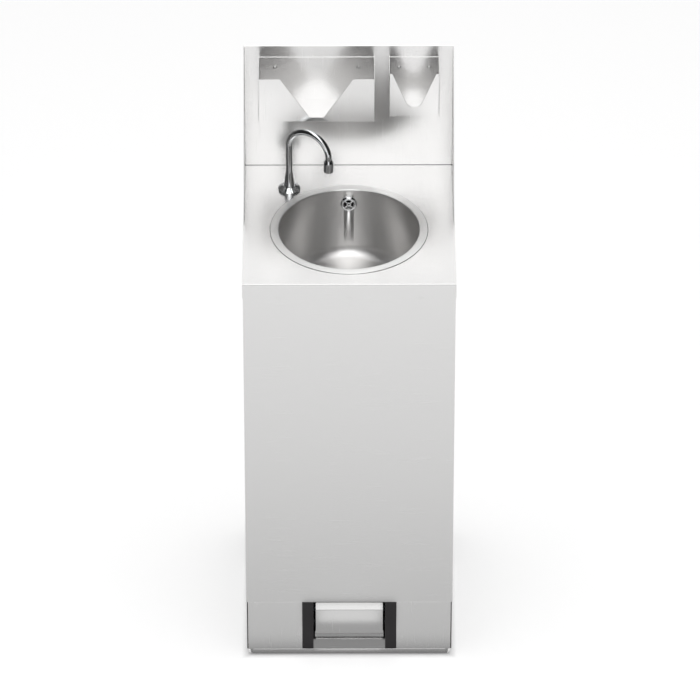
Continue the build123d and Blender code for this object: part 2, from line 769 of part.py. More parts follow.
def holder_screw_places():
    return [
        TOWEL_LEFT + TOWEL_SCREW_INSET,
        TOWEL_LEFT + TOWEL_WIDTH - TOWEL_SCREW_INSET,
        SOAP_LEFT + SOAP_SCREW_INSET,
        SOAP_LEFT + SOAP_WIDTH - SOAP_SCREW_INSET,
    ]


def holder(left, width, depth, notch, screw_inset):
    """An open-topped sheet pocket on the splashback, with a cut-out in its front."""
    front = SETBACK - depth
    shape = block(left, left + width, front, SETBACK, HOLDER_BOTTOM, HOLDER_TOP)
    folds = shape.edges().filter_by(Axis.X).group_by(Axis.Z)[0].sort_by(Axis.Y)[0]
    uprights = shape.edges().filter_by(Axis.Z).group_by(Axis.Y)[0]
    shape = fillet(uprights + [folds], HOLDER_BEND)
    shape -= block(left + SHEET, left + width - SHEET, front + SHEET, SETBACK - SHEET,
                   HOLDER_BOTTOM + SHEET, HOLDER_TOP)
    cutter_plane = Plane(origin=at(left + width / 2, front, HOLDER_TOP), x_dir=RIGHT, z_dir=FORWARD)
    cutter = extrude(cutter_plane * notch, -SHEET * 2)
    shape -= cutter
    for x in (left + screw_inset, left + width - screw_inset):
        shape -= rod(at(x, SETBACK - SHEET, SCREW_Z), BACKWARD, SCREW_HOLE_R, SHEET)
    return shape


def towel_holder():
    """Wide holder for folded paper towels."""
    top = TOWEL_NOTCH_TOP / 2
    bottom = TOWEL_NOTCH_BOTTOM / 2
    notch = make_face(Polyline((-top, 0), (-bottom, -TOWEL_NOTCH_DEPTH),
                               (bottom, -TOWEL_NOTCH_DEPTH), (top, 0), close=True))
    return holder(TOWEL_LEFT, TOWEL_WIDTH, TOWEL_DEPTH, notch, TOWEL_SCREW_INSET)


def soap_holder():
    """Narrow holder for a soap bottle, its cut-out rounded at the bottom."""
    top = SOAP_NOTCH_TOP / 2
    bottom = SOAP_NOTCH_BOTTOM / 2
    notch = make_face(Polyline((-top, 0), (-bottom, -SOAP_NOTCH_DEPTH),
                               (bottom, -SOAP_NOTCH_DEPTH), (top, 0), close=True))
    low_corners = notch.vertices().group_by(Axis.Y)[0]
    notch = fillet(low_corners, SOAP_NOTCH_ROUND)
    return holder(SOAP_LEFT, SOAP_WIDTH, SOAP_DEPTH, notch, SOAP_SCREW_INSET)


def holder_screws():
    """Four button-head screws through the holders' backs and the splashback."""
    reach = 2 * SHEET + NUT_THICK
    return [screw(at(x, SETBACK - SHEET, SCREW_Z), BACKWARD, reach) for x in holder_screw_places()]


# Rear door

def door_edges():
    """The door's half width, bottom and top."""
    half = HALF - REAR_FLANGE - DOOR_GAP
    return half, KICK_TOP + SILL_RISE + DOOR_GAP, RAIL_BOTTOM - DOOR_GAP


def hinge_point(height):
    return at(HALF - REAR_FLANGE - DOOR_GAP / 2, BODY_DEPTH + KNUCKLE_STANDOFF, height)


def hinge_heights():
    half, bottom, top = door_edges()
    return [bottom + HINGE_INSET, top - HINGE_INSET - HINGE_LENGTH]


def lock_point():
    half, bottom, top = door_edges()
    return at(LOCK_INSET - half, BODY_DEPTH, (bottom + top) / 2)


def rear_door():
    """Door pan with folded edges, two groups of vents and a hole for the lock."""
    half, bottom, top = door_edges()
    front = BODY_DEPTH - DOOR_FOLD
    shape = block(-half, half, front, BODY_DEPTH, bottom, top)
    shape -= block(SHEET - half, half - SHEET, front, SETBACK, bottom + SHEET, top - SHEET)
    for start in (bottom + VENT_INSET, top - VENT_INSET - VENT_PITCH * (VENT_COUNT - 1)):
        for index in range(VENT_COUNT):
            centre = at(0, SETBACK, start + VENT_PITCH * index)
            slot = Plane(origin=centre, x_dir=RIGHT, z_dir=BACKWARD)
            shape -= extrude(slot * SlotOverall(VENT_LENGTH, VENT_HEIGHT), SHEET)
    lock = lock_point()
    return shape - rod(lock + FORWARD * SHEET, BACKWARD, LOCK_R, SHEET)


def hinge_leaves(side):
    """Leaves with knuckles: side 1 stands on the cabinet, side -1 on the door."""
    zones = (0, 2) if side > 0 else (1,)
    bore = HINGE_PIN_R if side > 0 else HINGE_PIN_R + PIN_FIT
    return [hinge_leaf(side, low, zones, bore) for low in hinge_heights()]


def hinge_leaf(side, low, zones, bore):
    """One leaf: a plate clear of the other leaf's knuckles, and its own knuckles on webs."""
    axis = hinge_point(low)
    near = KNUCKLE_R + 2 * RUN_GAP
    back = BODY_DEPTH + HINGE_LEAF_THICK
    x_low, x_high = sorted((axis.X + side * near, axis.X + side * (near + HINGE_LEAF)))
    shape = block(x_low, x_high, BODY_DEPTH, back, low, low + HINGE_LENGTH)
    web_low, web_high = sorted((axis.X + side * HINGE_PIN_R, axis.X + side * (near + RUN_GAP)))
    for zone in zones:
        bottom = Vector(axis.X, axis.Y, low + zone * HINGE_LENGTH / 3 + RUN_GAP / 2)
        height = HINGE_LENGTH / 3 - RUN_GAP
        knuckle = rod(bottom, UP, KNUCKLE_R, height)
        knuckle += block(web_low, web_high, BODY_DEPTH + RUN_GAP, back, bottom.Z, bottom.Z + height)
        shape += knuckle - rod(bottom, UP, bore, height)
    return shape


def hinge_pins():
    """Two hinge pins with small domed ends."""
    shapes = []
    for low in hinge_heights():
        start = hinge_point(low - HINGE_PIN_PROUD)
        pin = rod(start, UP, HINGE_PIN_R, HINGE_LENGTH + 2 * HINGE_PIN_PROUD)
        shapes.append(fillet(pin.edges().filter_by(GeomType.CIRCLE), HINGE_PIN_R / 2))
    return shapes


def lock_housing():
    """Cam lock's threaded barrel with its round head and nut behind the door's sheet."""
    outside = lock_point()
    barrel = rod(outside, FORWARD, LOCK_R, LOCK_LENGTH)
    head = rod(outside, BACKWARD, LOCK_HEAD_R, LOCK_HEAD_PROUD)
    head = fillet(head.edges().sort_by(Axis.Y)[-1], LOCK_HEAD_PROUD / 2)
    nut_seat = outside + FORWARD * SHEET
    shape = barrel + head + hexagon(nut_seat, FORWARD, 2 * LOCK_HEAD_R, NUT_THICK)
    bore_start = outside + FORWARD * LOCK_LENGTH
    return shape - rod(bore_start, BACKWARD, LOCK_PLUG_R + PIN_FIT, LOCK_LENGTH + LOCK_HEAD_PROUD)


def lock_cam():
    """Lock plug with its keyway and the cam plate, which hangs down when unlocked."""
    outside = lock_point()
    cam_front = at(outside.X, BODY_DEPTH - REAR_LIP - RUN_GAP - CAM_THICK, outside.Z)
    length = outside.Y + LOCK_HEAD_PROUD - RUN_GAP - cam_front.Y
    plug = rod(cam_front, BACKWARD, LOCK_PLUG_R, length)
    half = CAM_WIDTH / 2
    front = cam_front.Y - FRONT_Y
    cam = block(outside.X - half, outside.X + half, front, front + CAM_THICK,
                outside.Z - CAM_REACH + half, outside.Z)
    cam += rod(cam_front, BACKWARD, half, CAM_THICK)
    cam += rod(cam_front + DOWN * (CAM_REACH - half), BACKWARD, half, CAM_THICK)
    face = length + front
    keyway = block(outside.X - KEYWAY_WIDTH / 2, outside.X + KEYWAY_WIDTH / 2, face - KEYWAY_DEEP,
                   face, outside.Z - KEYWAY_LENGTH / 2, outside.Z + KEYWAY_LENGTH / 2)
    return plug + cam - keyway


# Rear handle

def handle_height():
    return WORKTOP_HEIGHT - REAR_RAIL / 2


def handle_feet():
    return [-HANDLE_SPAN / 2, HANDLE_SPAN / 2]


def handle_screw_places():
    return [x + side * HANDLE_SCREW_OFFSET for x in handle_feet() for side in (-1, 1)]


def rear_handle():
    """Tubular pull handle with two round flanges on the rear rail."""
    out = BODY_DEPTH + HANDLE_STANDOFF
    left, right = handle_feet()
    height = handle_height()
    points = [at(left, BODY_DEPTH, height), at(left, out, height), at(right, out, height),
              at(right, BODY_DEPTH, height)]
    path = FilletPolyline(*points, radius=HANDLE_BEND)
    shape = sweep(Plane(origin=path @ 0, z_dir=path % 0) * Circle(HANDLE_R), path=path)
    for x in handle_feet():
        seat = at(x, BODY_DEPTH, height)
        flange = rod(seat, BACKWARD, HANDLE_FLANGE_R, HANDLE_FLANGE_THICK)
        shape += fillet(flange.edges().sort_by(Axis.Y)[-1], HANDLE_FLANGE_THICK / 3)
    for x in handle_screw_places():
        shape -= rod(at(x, BODY_DEPTH, height), BACKWARD, SCREW_HOLE_R, HANDLE_FLANGE_THICK)
    return shape


def handle_screws():
    """Four button-head screws through the handle's flanges and the rail."""
    start = BODY_DEPTH + HANDLE_FLANGE_THICK
    reach = HANDLE_FLANGE_THICK + SHEET + NUT_THICK
    return [screw(at(x, start, handle_height()), FORWARD, reach) for x in handle_screw_places()]


def sheet_nuts():
    """Eight nuts: four behind the splashback and four inside the rail."""
    behind = [nut(at(x, BODY_DEPTH, SCREW_Z), BACKWARD) for x in holder_screw_places()]
    inside = [nut(at(x, SETBACK, handle_height()), FORWARD) for x in handle_screw_places()]
    return behind + inside


# Plinth

def wheel_bay_front():
    """How far behind the front the wheel bays begin."""
    return AXLE_DEPTH - WHEEL_R - WHEEL_ARCH


def plinth_housing():
    """Moulded plinth: outer walls, the foot well between its cheeks and two wheel bays."""
    half = PLINTH_HALF
    well = WELL_WIDTH / 2
    wall = PLINTH_WALL
    ceiling = KICK_TOP - wall
    bay = wheel_bay_front()
    shape = block(-half, half, SHEET, BODY_DEPTH, TRAY_TOP, KICK_TOP)
    shape -= block(-well, well, SHEET, WELL_DEPTH, TRAY_TOP, KICK_TOP)
    shape -= block(-BAY_INNER, BAY_INNER, WELL_DEPTH + wall, BODY_DEPTH - wall, TRAY_TOP, ceiling)
    for sign in (-1, 1):
        chamber_low, chamber_high = handed(sign, well + wall, half - wall)
        shape -= block(chamber_low, chamber_high, SHEET + wall, WELL_DEPTH, TRAY_TOP, ceiling)
        rear_low, rear_high = handed(sign, BAY_INNER, half - wall)
        shape -= block(rear_low, rear_high, WELL_DEPTH, bay - wall, TRAY_TOP, ceiling)
        bay_low, bay_high = handed(sign, BAY_INNER + wall, half - wall)
        shape -= block(bay_low, bay_high, bay, BODY_DEPTH, TRAY_TOP, ceiling)
        shape -= rod(at(0, PUMP_DEPTH, port_height()), RIGHT * sign, HOSE_HOLE_R, well + 2 * wall)
        shape -= rod(at(sign * RISER_X, RISER_DEPTH, ceiling), UP, HOSE_HOLE_R, wall)
        shape -= rod(at(sign * BAY_INNER, AXLE_DEPTH, WHEEL_R), RIGHT * sign, AXLE_R + AXLE_FIT,
                     BAY_WIDTH)
    return shape


def kick_plate(sign):
    """Brushed plate on the plinth's front, one each side of the foot well."""
    x_low, x_high = handed(sign, WELL_WIDTH / 2 + KICK_REVEAL, HALF - KICK_INSET)
    return block(x_low, x_high, 0, SHEET, TRAY_TOP, KICK_TOP)


def base_tray():
    """Pressed tray under the plinth, with a lip, rounded front corners and the apron's slot."""
    half = HALF - TRAY_INSET
    low = TRAY_TOP - TRAY_LIP
    rear = wheel_bay_front() - TRAY_TO_BAY
    outer = block(-half, half, 0, rear, low, TRAY_TOP)
    outer = fillet(outer.edges().filter_by(Axis.Z).group_by(Axis.Y)[0], TRAY_CORNER)
    inner = block(SHEET - half, half - SHEET, SHEET, rear - SHEET, low, TRAY_TOP - SHEET)
    inner = fillet(inner.edges().filter_by(Axis.Z).group_by(Axis.Y)[0], TRAY_CORNER - SHEET)
    middle = BAY_INNER - SHEET
    shape = outer - inner
    shape += block(-middle, middle, rear - SHEET, BODY_DEPTH, TRAY_TOP - SHEET, TRAY_TOP)
    slot_half = PEDAL_WIDTH / 2 + SLOT_CLEAR
    shape -= block(-slot_half, slot_half, PEDAL_FACE - SLOT_CLEAR, PEDAL_FACE + SLOT_DEPTH,
                   TRAY_TOP - SHEET, TRAY_TOP)
    return shape


def front_feet():
    """Two rubber feet under the tray's front corners."""
    shapes = []
    for sign in (-1, 1):
        centre = at(sign * (HALF - FOOT_INSET), FOOT_DEPTH, 0)
        foot = rod(centre, UP, FOOT_R, TRAY_TOP - SHEET)
        shapes.append(chamfer(foot.edges().sort_by(Axis.Z)[0], FOOT_BEVEL))
    return shapes


# Wheels

def tyre(sign):
    """Rubber tyre with a rounded, grooved tread."""
    side = at(sign * WHEEL_X - WHEEL_WIDTH / 2, AXLE_DEPTH, WHEEL_R)
    ring = rod(side, RIGHT, WHEEL_R, WHEEL_WIDTH)
    ring = fillet(ring.edges().filter_by(GeomType.CIRCLE), TYRE_ROUND)
    first = (WHEEL_WIDTH - TYRE_GROOVE_WIDTH - (TYRE_GROOVES - 1) * TYRE_GROOVE_PITCH) / 2
    for number in range(TYRE_GROOVES):
        start = side + RIGHT * (first + number * TYRE_GROOVE_PITCH)
        groove = tube(start, RIGHT, WHEEL_R + TYRE_ROUND, WHEEL_R - TYRE_GROOVE_DEEP,
                      TYRE_GROOVE_WIDTH)
        ring -= groove
    return ring - rod(side, RIGHT, TYRE_INNER_R, WHEEL_WIDTH)


def wheel_hub(sign):
    """Moulded hub: a rim in the tyre, a pierced web and a long boss on the axle."""
    half = WHEEL_WIDTH / 2
    left = at(sign * WHEEL_X - half, AXLE_DEPTH, WHEEL_R)
    middle = at(sign * WHEEL_X - HUB_WEB / 2, AXLE_DEPTH, WHEEL_R)
    rim_r = TYRE_INNER_R - PIN_FIT
    inward = WHEEL_X - BAY_INNER - PLINTH_WALL
    outward = PLINTH_HALF - PLINTH_WALL - WHEEL_X
    boss_half = min(inward, outward) - HUB_SIDE_GAP
    boss_start = at(sign * WHEEL_X - boss_half, AXLE_DEPTH, WHEEL_R)
    shape = tube(left, RIGHT, rim_r, rim_r - HUB_RIM, WHEEL_WIDTH)
    shape += rod(middle, RIGHT, rim_r - HUB_RIM / 2, HUB_WEB)
    shape += rod(boss_start, RIGHT, HUB_BOSS_R, 2 * boss_half)
    ring_r = (rim_r - HUB_RIM + HUB_BOSS_R) / 2
    for index in range(HUB_HOLES):
        turn = math.radians(360 / HUB_HOLES * index)
        hole = middle + Vector(0, ring_r * math.cos(turn), ring_r * math.sin(turn))
        shape -= rod(hole, RIGHT, HUB_HOLE_R, HUB_WEB)
    return shape - rod(boss_start, RIGHT, AXLE_R + AXLE_FIT, 2 * boss_half)


def axle():
    """Steel axle through both wheel bays."""
    return rod(at(-PLINTH_HALF, AXLE_DEPTH, WHEEL_R), RIGHT, AXLE_R, 2 * PLINTH_HALF)


def axle_caps():
    """Two push-on caps over the axle's ends."""
    shapes = []
    for sign in (-1, 1):
        out = RIGHT * sign
        cap = rod(at(sign * PLINTH_HALF, AXLE_DEPTH, WHEEL_R), out, AXLE_CAP_R, AXLE_CAP_PROUD)
        outer_edge = cap.edges().sort_by(Axis((0, 0, 0), out))[-1]
        shapes.append(fillet(outer_edge, AXLE_CAP_PROUD * EDGE_SHARE))
    return shapes


# Foot pedal and pump

def foot_pedal():
    """Pedal plate: a tread, a sloped toe, a front apron and side flanges that turn on the pin."""
    half = PEDAL_WIDTH / 2
    line = [(FRONT_Y + PEDAL_REAR, PEDAL_TOP), (FRONT_Y + PEDAL_FACE + PEDAL_TOE, PEDAL_TOP),
            (FRONT_Y + PEDAL_FACE, PEDAL_TOP - PEDAL_TOE), (FRONT_Y + PEDAL_FACE, PEDAL_BOTTOM)]
    shape = folded(line, PEDAL_BEND, PEDAL_SHEET, PEDAL_WIDTH, Plane.YZ, Side.LEFT)
    shape = Pos(-half, 0, 0) * shape
    for sign in (-1, 1):
        x_low, x_high = handed(sign, half - PEDAL_SHEET, half)
        flange = block(x_low, x_high, PEDAL_FACE + PEDAL_FLANGE_SETBACK, PEDAL_REAR,
                       PEDAL_TOP - PEDAL_FLANGE, PEDAL_TOP - PEDAL_SHEET)
        low_corners = flange.edges().filter_by(Axis.X).group_by(Axis.Z)[0]
        shape += fillet(low_corners, PEDAL_FLANGE_ROUND)
    pin_start = at(-half, PIVOT_DEPTH, PIVOT_Z)
    return shape - rod(pin_start, RIGHT, PIVOT_R + PIN_FIT, PEDAL_WIDTH)


def bracket_inner():
    return PEDAL_WIDTH / 2 - PEDAL_SHEET - BRACKET_GAP - BRACKET_THICK


def pedal_brackets():
    """Two brackets on the tray that carry the pedal's pivot pin."""
    shapes = []
    for sign in (-1, 1):
        x_low, x_high = handed(sign, bracket_inner(), bracket_inner() + BRACKET_THICK)
        half = BRACKET_WIDTH / 2
        upright = block(x_low, x_high, PIVOT_DEPTH - half, PIVOT_DEPTH + half, TRAY_TOP, PIVOT_Z)
        upright += rod(at(x_low, PIVOT_DEPTH, PIVOT_Z), RIGHT, BRACKET_EYE_R, BRACKET_THICK)
        foot_low, foot_high = handed(sign, bracket_inner() - BRACKET_FOOT, bracket_inner())
        upright += block(foot_low, foot_high, PIVOT_DEPTH - half, PIVOT_DEPTH + half, TRAY_TOP,
                         TRAY_TOP + BRACKET_THICK)
        shapes.append(upright - rod(at(x_low, PIVOT_DEPTH, PIVOT_Z), RIGHT, PIVOT_R, BRACKET_THICK))
    return shapes


def pedal_pin():
    """Steel pin through the brackets and the pedal's flanges."""
    length = PEDAL_WIDTH + 2 * PIVOT_PIN_PROUD
    return rod(at(-length / 2, PIVOT_DEPTH, PIVOT_Z), RIGHT, PIVOT_R, length)


def port_height():
    return TRAY_TOP + PUMP_PORT_RISE


def pump_body():
    """Pump cylinder on the tray, with a port each side for the hoses."""
    base = at(0, PUMP_DEPTH, TRAY_TOP)
    shape = rod(base, UP, PUMP_R, PUMP_HEIGHT) + rod(base, UP, PUMP_FLANGE_R, PUMP_BASE)
    for out in (LEFT, RIGHT):
        shape += rod(at(0, PUMP_DEPTH, port_height()), out, PUMP_PORT_R, PUMP_PORT_REACH)
    shape -= rod(base + UP * PUMP_BASE, UP, PUMP_BORE_R, PUMP_HEIGHT - PUMP_BASE)
    for out in (LEFT, RIGHT):
        shape -= rod(at(0, PUMP_DEPTH, port_height()), out, WATER_HOSE_BORE_R, PUMP_PORT_REACH)
    return shape


def pump_cap():
    """Gland cap screwed on the cylinder, which guides the plunger."""
    seat = at(0, PUMP_DEPTH, TRAY_TOP + PUMP_HEIGHT)
    return tube(seat, UP, PUMP_R, PLUNGER_R + PLUNGER_FIT, PUMP_CAP_HEIGHT)


def plunger_top():
    """The plunger's top, just under the tread."""
    return PEDAL_TOP - PEDAL_SHEET - RUN_GAP


def pump_plunger():
    """Plunger: a piston in the cylinder, a rod and a domed head under the tread."""
    low = TRAY_TOP + PISTON_RISE
    piston = rod(at(0, PUMP_DEPTH, low), UP, PISTON_R, PISTON_HEIGHT)
    stem = rod(at(0, PUMP_DEPTH, low), UP, PLUNGER_R, plunger_top() - PLUNGER_HEAD - low)
    head_seat = at(0, PUMP_DEPTH, plunger_top() - PLUNGER_HEAD)
    head = rod(head_seat, UP, PLUNGER_HEAD_R, PLUNGER_HEAD)
    dome_centre = at(0, PUMP_DEPTH, plunger_top() - PLUNGER_DOME_R)
    head = head & (Pos(dome_centre) * Sphere(PLUNGER_DOME_R))
    return piston + stem + head


def pump_spring():
    """Return spring round the plunger, between the cap and the head."""
    low = TRAY_TOP + PUMP_HEIGHT + PUMP_CAP_HEIGHT + SPRING_WIRE_R
    high = plunger_top() - PLUNGER_HEAD - SPRING_WIRE_R
    height = high - low - 2 * RUN_GAP
    coil = Pos(at(0, PUMP_DEPTH, low + RUN_GAP)) * Helix(height / SPRING_TURNS, height, SPRING_R)
    return sweep(Plane(origin=coil @ 0, z_dir=coil % 0) * Circle(SPRING_WIRE_R), path=coil)


# Tanks and hoses

def tank_centre(sign):
    return sign * (TANK_MIDDLE_GAP + TANK_WIDTH / 2)


def neck_depth():
    return TANK_FRONT + NECK_DEPTH


def tank_top():
    return CABINET_FLOOR_TOP + TANK_HEIGHT


def cap_top():
    return tank_top() + NECK_HEIGHT + CAP_WALL


def tank(sign):
    """Blow-moulded tank: rounded walls, a neck and a moulded carrying grip."""
    x = tank_centre(sign)
    half = TANK_WIDTH / 2
    wall = TANK_WALL
    shape = block(x - half, x + half, TANK_FRONT, TANK_REAR, CABINET_FLOOR_TOP, tank_top())
    shape = fillet(shape.edges().filter_by(Axis.Z), TANK_CORNER)
    shape = fillet(shape.faces().sort_by(Axis.Z)[-1].edges(), TANK_SHOULDER)
    shape += rod(at(x, neck_depth(), tank_top()), UP, NECK_R, NECK_HEIGHT)
    inside = block(x - half + wall, x + half - wall, TANK_FRONT + wall, TANK_REAR - wall,
                   CABINET_FLOOR_TOP + wall, tank_top() - wall)
    inside = fillet(inside.edges().filter_by(Axis.Z), TANK_CORNER - wall)
    inside = fillet(inside.faces().sort_by(Axis.Z)[-1].edges(), TANK_SHOULDER - wall)
    shape -= inside
    shape -= rod(at(x, neck_depth(), tank_top() - wall), UP, NECK_R - wall, NECK_HEIGHT + wall)
    return shape + tank_grip(x)


def tank_grip(x):
    """Carrying grip along the tank's top."""
    half = GRIP_WIDTH / 2
    front = neck_depth() + CAP_R + GRIP_TO_CAP
    rear = TANK_REAR - GRIP_REAR_INSET
    low = tank_top() - TANK_WALL / 2
    high = tank_top() + GRIP_HEIGHT
    grip = block(x - half, x + half, front, rear, low, high)
    grip = fillet(grip.edges().filter_by(Axis.X).group_by(Axis.Z)[-1], GRIP_THICK)
    hole = block(x - half, x + half, front + GRIP_THICK, rear - GRIP_THICK, low, high - GRIP_THICK)
    return grip - hole


def tank_cap(sign, hose_radius):
    """Screw cap over the neck, with a hole where its hose comes in."""
    x = tank_centre(sign)
    top = at(x, neck_depth(), cap_top())
    shape = rod(top, DOWN, CAP_R, CAP_HEIGHT)
    shape = fillet(shape.edges().sort_by(Axis.Z)[-1], CAP_WALL / 2)
    shape -= rod(top + DOWN * CAP_WALL, DOWN, NECK_R + RUN_GAP, CAP_HEIGHT - CAP_WALL)
    return shape - rod(top, DOWN, hose_radius, CAP_WALL)


def dip_tube():
    """Suction tube from the fresh tank's cap to just above its bottom."""
    x = tank_centre(1)
    bottom = CABINET_FLOOR_TOP + TANK_WALL + DIP_CLEAR
    start = at(x, neck_depth(), bottom)
    return tube(start, UP, WATER_HOSE_R, WATER_HOSE_BORE_R, cap_top() - bottom)


def suction_points():
    """Route of the hose from the fresh tank's cap to the pump's right port."""
    x = tank_centre(1)
    depth = neck_depth()
    return [
        at(PUMP_PORT_REACH, PUMP_DEPTH, port_height()),
        at(PUMP_PORT_REACH + 73, PUMP_DEPTH, port_height()),
        at(RISER_X, RISER_DEPTH, port_height() + 46),
        at(RISER_X, RISER_DEPTH, cap_top() + 38),
        at(RISER_X - 18, RISER_DEPTH + 38, cap_top() + 93),
        at(x + 12, depth - 25, cap_top() + 93),
        at(x, depth, cap_top() + 48),
        at(x, depth, cap_top()),
    ]


def supply_points():
    """Route of the hose from the pump's left port to the tap's shank."""
    end = WORKTOP_HEIGHT - SHANK_DROP
    return [
        at(-PUMP_PORT_REACH, PUMP_DEPTH, port_height()),
        at(-PUMP_PORT_REACH - 73, PUMP_DEPTH, port_height()),
        at(-RISER_X, RISER_DEPTH, port_height() + 46),
        at(-RISER_X, RISER_DEPTH, end - 220),
        at(-RISER_X - 20, RISER_DEPTH + 68, end - 150),
        at(-RISER_X - 20, TAP_DEPTH - 91, end - 100),
        at(TAP_X - 36, TAP_DEPTH - 21, end - 80),
        at(TAP_X, TAP_DEPTH, end - 40),
        at(TAP_X, TAP_DEPTH, end),
    ]


def waste_points():
    """Route of the hose from the waste's tail to the waste tank's cap."""
    x = tank_centre(-1)
    return [
        at(0, BOWL_CENTRE, waste_tail_end()),
        at(0, BOWL_CENTRE, waste_tail_end() - 55),
        at(x, neck_depth(), cap_top() + 76),
        at(x, neck_depth(), cap_top()),
    ]


def overflow_points():
    """Route of the hose from the overflow elbow to the waste body's side inlet."""
    start = elbow_corner() + DOWN * ELBOW_DROP
    end = at(0, BOWL_CENTRE + WASTE_INLET_REACH, overflow_inlet_height())
    return [
        start,
        start + DOWN * 48,
        Vector(0, start.Y - 13, end.Z + 18),
        end + BACKWARD * 58,
        end,
    ]


def route_clips():
    """Worm-drive clips at the ends of the hoses."""
    clips = []
    routes = (
        (suction_points(), WATER_HOSE_R),
        (supply_points(), WATER_HOSE_R),
        (waste_points(), WASTE_HOSE_R),
        (overflow_points(), OVERFLOW_HOSE_R),
    )
    for points, radius in routes:
        clips.append(hose_clip(points[0], (points[1] - points[0]).normalized(), radius))
        clips.append(hose_clip(points[-1], (points[-2] - points[-1]).normalized(), radius))
    return clips


nodes = {
    "worktop_and_front": worktop_and_front(),
    "splashback": splashback(),
    "splash_gusset_left": splash_gusset(-1),
    "splash_gusset_right": splash_gusset(1),
    "side_panel_left": side_panel(-1),
    "side_panel_right": side_panel(1),
    "cabinet_floor": cabinet_floor(),
    "front_brace": front_brace(),
    "front_rivets": front_rivets(),
    "bowl": bowl(),
    "overflow_rosette": overflow_rosette(),
    "overflow_elbow": overflow_elbow(),
    "waste_strainer": waste_strainer(),
    "waste_gasket": waste_gasket(),
    "waste_body": waste_body(),
    "tap_base": tap_base(),
    "tap_backnut": tap_backnut(),
    "tap_spout": tap_spout(),
    "tap_aerator": tap_aerator(),
    "towel_holder": towel_holder(),
    "soap_holder": soap_holder(),
    "holder_screws": holder_screws(),
    "rear_door": rear_door(),
    "hinge_frame_leaves": hinge_leaves(1),
    "hinge_door_leaves": hinge_leaves(-1),
    "hinge_pins": hinge_pins(),
    "lock_housing": lock_housing(),
    "lock_cam": lock_cam(),
    "rear_handle": rear_handle(),
    "handle_screws": handle_screws(),
    "sheet_nuts": sheet_nuts(),
    "plinth_housing": plinth_housing(),
    "kick_plate_left": kick_plate(-1),
    "kick_plate_right": kick_plate(1),
    "base_tray": base_tray(),
    "front_feet": front_feet(),
    "tyre_left": tyre(-1),
    "tyre_right": tyre(1),
    "wheel_hub_left": wheel_hub(-1),
    "wheel_hub_right": wheel_hub(1),
    "axle": axle(),
    "axle_caps": axle_caps(),
    "foot_pedal": foot_pedal(),
    "pedal_brackets": pedal_brackets(),
    "pedal_pin": pedal_pin(),
    "pump_body": pump_body(),
    "pump_cap": pump_cap(),
    "pump_plunger": pump_plunger(),
    "pump_spring": pump_spring(),
    "fresh_tank": tank(1),
    "fresh_tank_cap": tank_cap(1, WATER_HOSE_R),
    "dip_tube": dip_tube(),
    "waste_tank": tank(-1),
    "waste_tank_cap": tank_cap(-1, WASTE_HOSE_R),
    "suction_hose": hose("suction_hose", suction_points(), WATER_HOSE_R, WATER_HOSE_BORE_R),
    "supply_hose": hose("supply_hose", supply_points(), WATER_HOSE_R, WATER_HOSE_BORE_R),
    "waste_hose": hose("waste_hose", waste_points(), WASTE_HOSE_R, WASTE_HOSE_BORE_R),
    "overflow_hose": hose("overflow_hose", overflow_points(), OVERFLOW_HOSE_R,
                          OVERFLOW_HOSE_BORE_R),
    "hose_clips": route_clips(),
}

for name, shape in nodes.items():
    if isinstance(shape, list):
        shape = Compound(children=shape)
    export_step(shape, f"parts/{name}.step")
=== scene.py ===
import bmesh
import bpy
import json
import math
from mathutils import Matrix, Vector

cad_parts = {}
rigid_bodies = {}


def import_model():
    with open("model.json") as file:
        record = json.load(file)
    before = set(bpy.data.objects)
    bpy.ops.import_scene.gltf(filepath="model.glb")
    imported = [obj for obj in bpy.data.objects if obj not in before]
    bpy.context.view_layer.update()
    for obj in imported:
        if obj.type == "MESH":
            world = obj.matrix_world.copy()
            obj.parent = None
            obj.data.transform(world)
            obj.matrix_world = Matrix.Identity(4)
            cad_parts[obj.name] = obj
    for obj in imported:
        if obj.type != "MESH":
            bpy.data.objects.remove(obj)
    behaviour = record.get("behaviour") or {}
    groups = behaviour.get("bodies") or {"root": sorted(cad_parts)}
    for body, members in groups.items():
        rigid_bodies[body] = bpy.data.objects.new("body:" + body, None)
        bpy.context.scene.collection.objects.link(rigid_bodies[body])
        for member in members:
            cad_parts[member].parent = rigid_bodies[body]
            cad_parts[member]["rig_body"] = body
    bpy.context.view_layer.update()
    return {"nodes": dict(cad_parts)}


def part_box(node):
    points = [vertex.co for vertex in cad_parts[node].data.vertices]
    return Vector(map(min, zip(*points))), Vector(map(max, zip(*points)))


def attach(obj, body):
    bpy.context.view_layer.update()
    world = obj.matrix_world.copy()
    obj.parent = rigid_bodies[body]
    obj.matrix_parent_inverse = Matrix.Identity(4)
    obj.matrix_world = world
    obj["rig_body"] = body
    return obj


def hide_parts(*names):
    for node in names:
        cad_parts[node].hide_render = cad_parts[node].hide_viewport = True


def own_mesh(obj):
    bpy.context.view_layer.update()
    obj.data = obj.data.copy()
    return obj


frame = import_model()


# Plinth housing: the black base that carries the cabinet, with the foot well and two wheel bays.
# Injection-moulded polypropylene, satin black, with soft edges and a fine spark-eroded grain.

def linear(hex_colour):
    """The linear RGBA of an sRGB hex colour."""
    channels = [int(hex_colour[i:i + 2], 16) / 255 for i in (1, 3, 5)]
    return (*[c / 12.92 if c <= 0.04045 else ((c + 0.055) / 1.055) ** 2.4 for c in channels], 1.0)


def add_node(tree, kind, values=None, links=None, **settings):
    """Adds a node: its settings, then plain values and links by input name or number."""
    made = tree.nodes.new(kind)
    for name, value in settings.items():
        setattr(made, name, value)
    for socket, value in (values or {}).items():
        made.inputs[socket].default_value = value
    for socket, source in (links or {}).items():
        tree.links.new(source, made.inputs[socket])
    return made


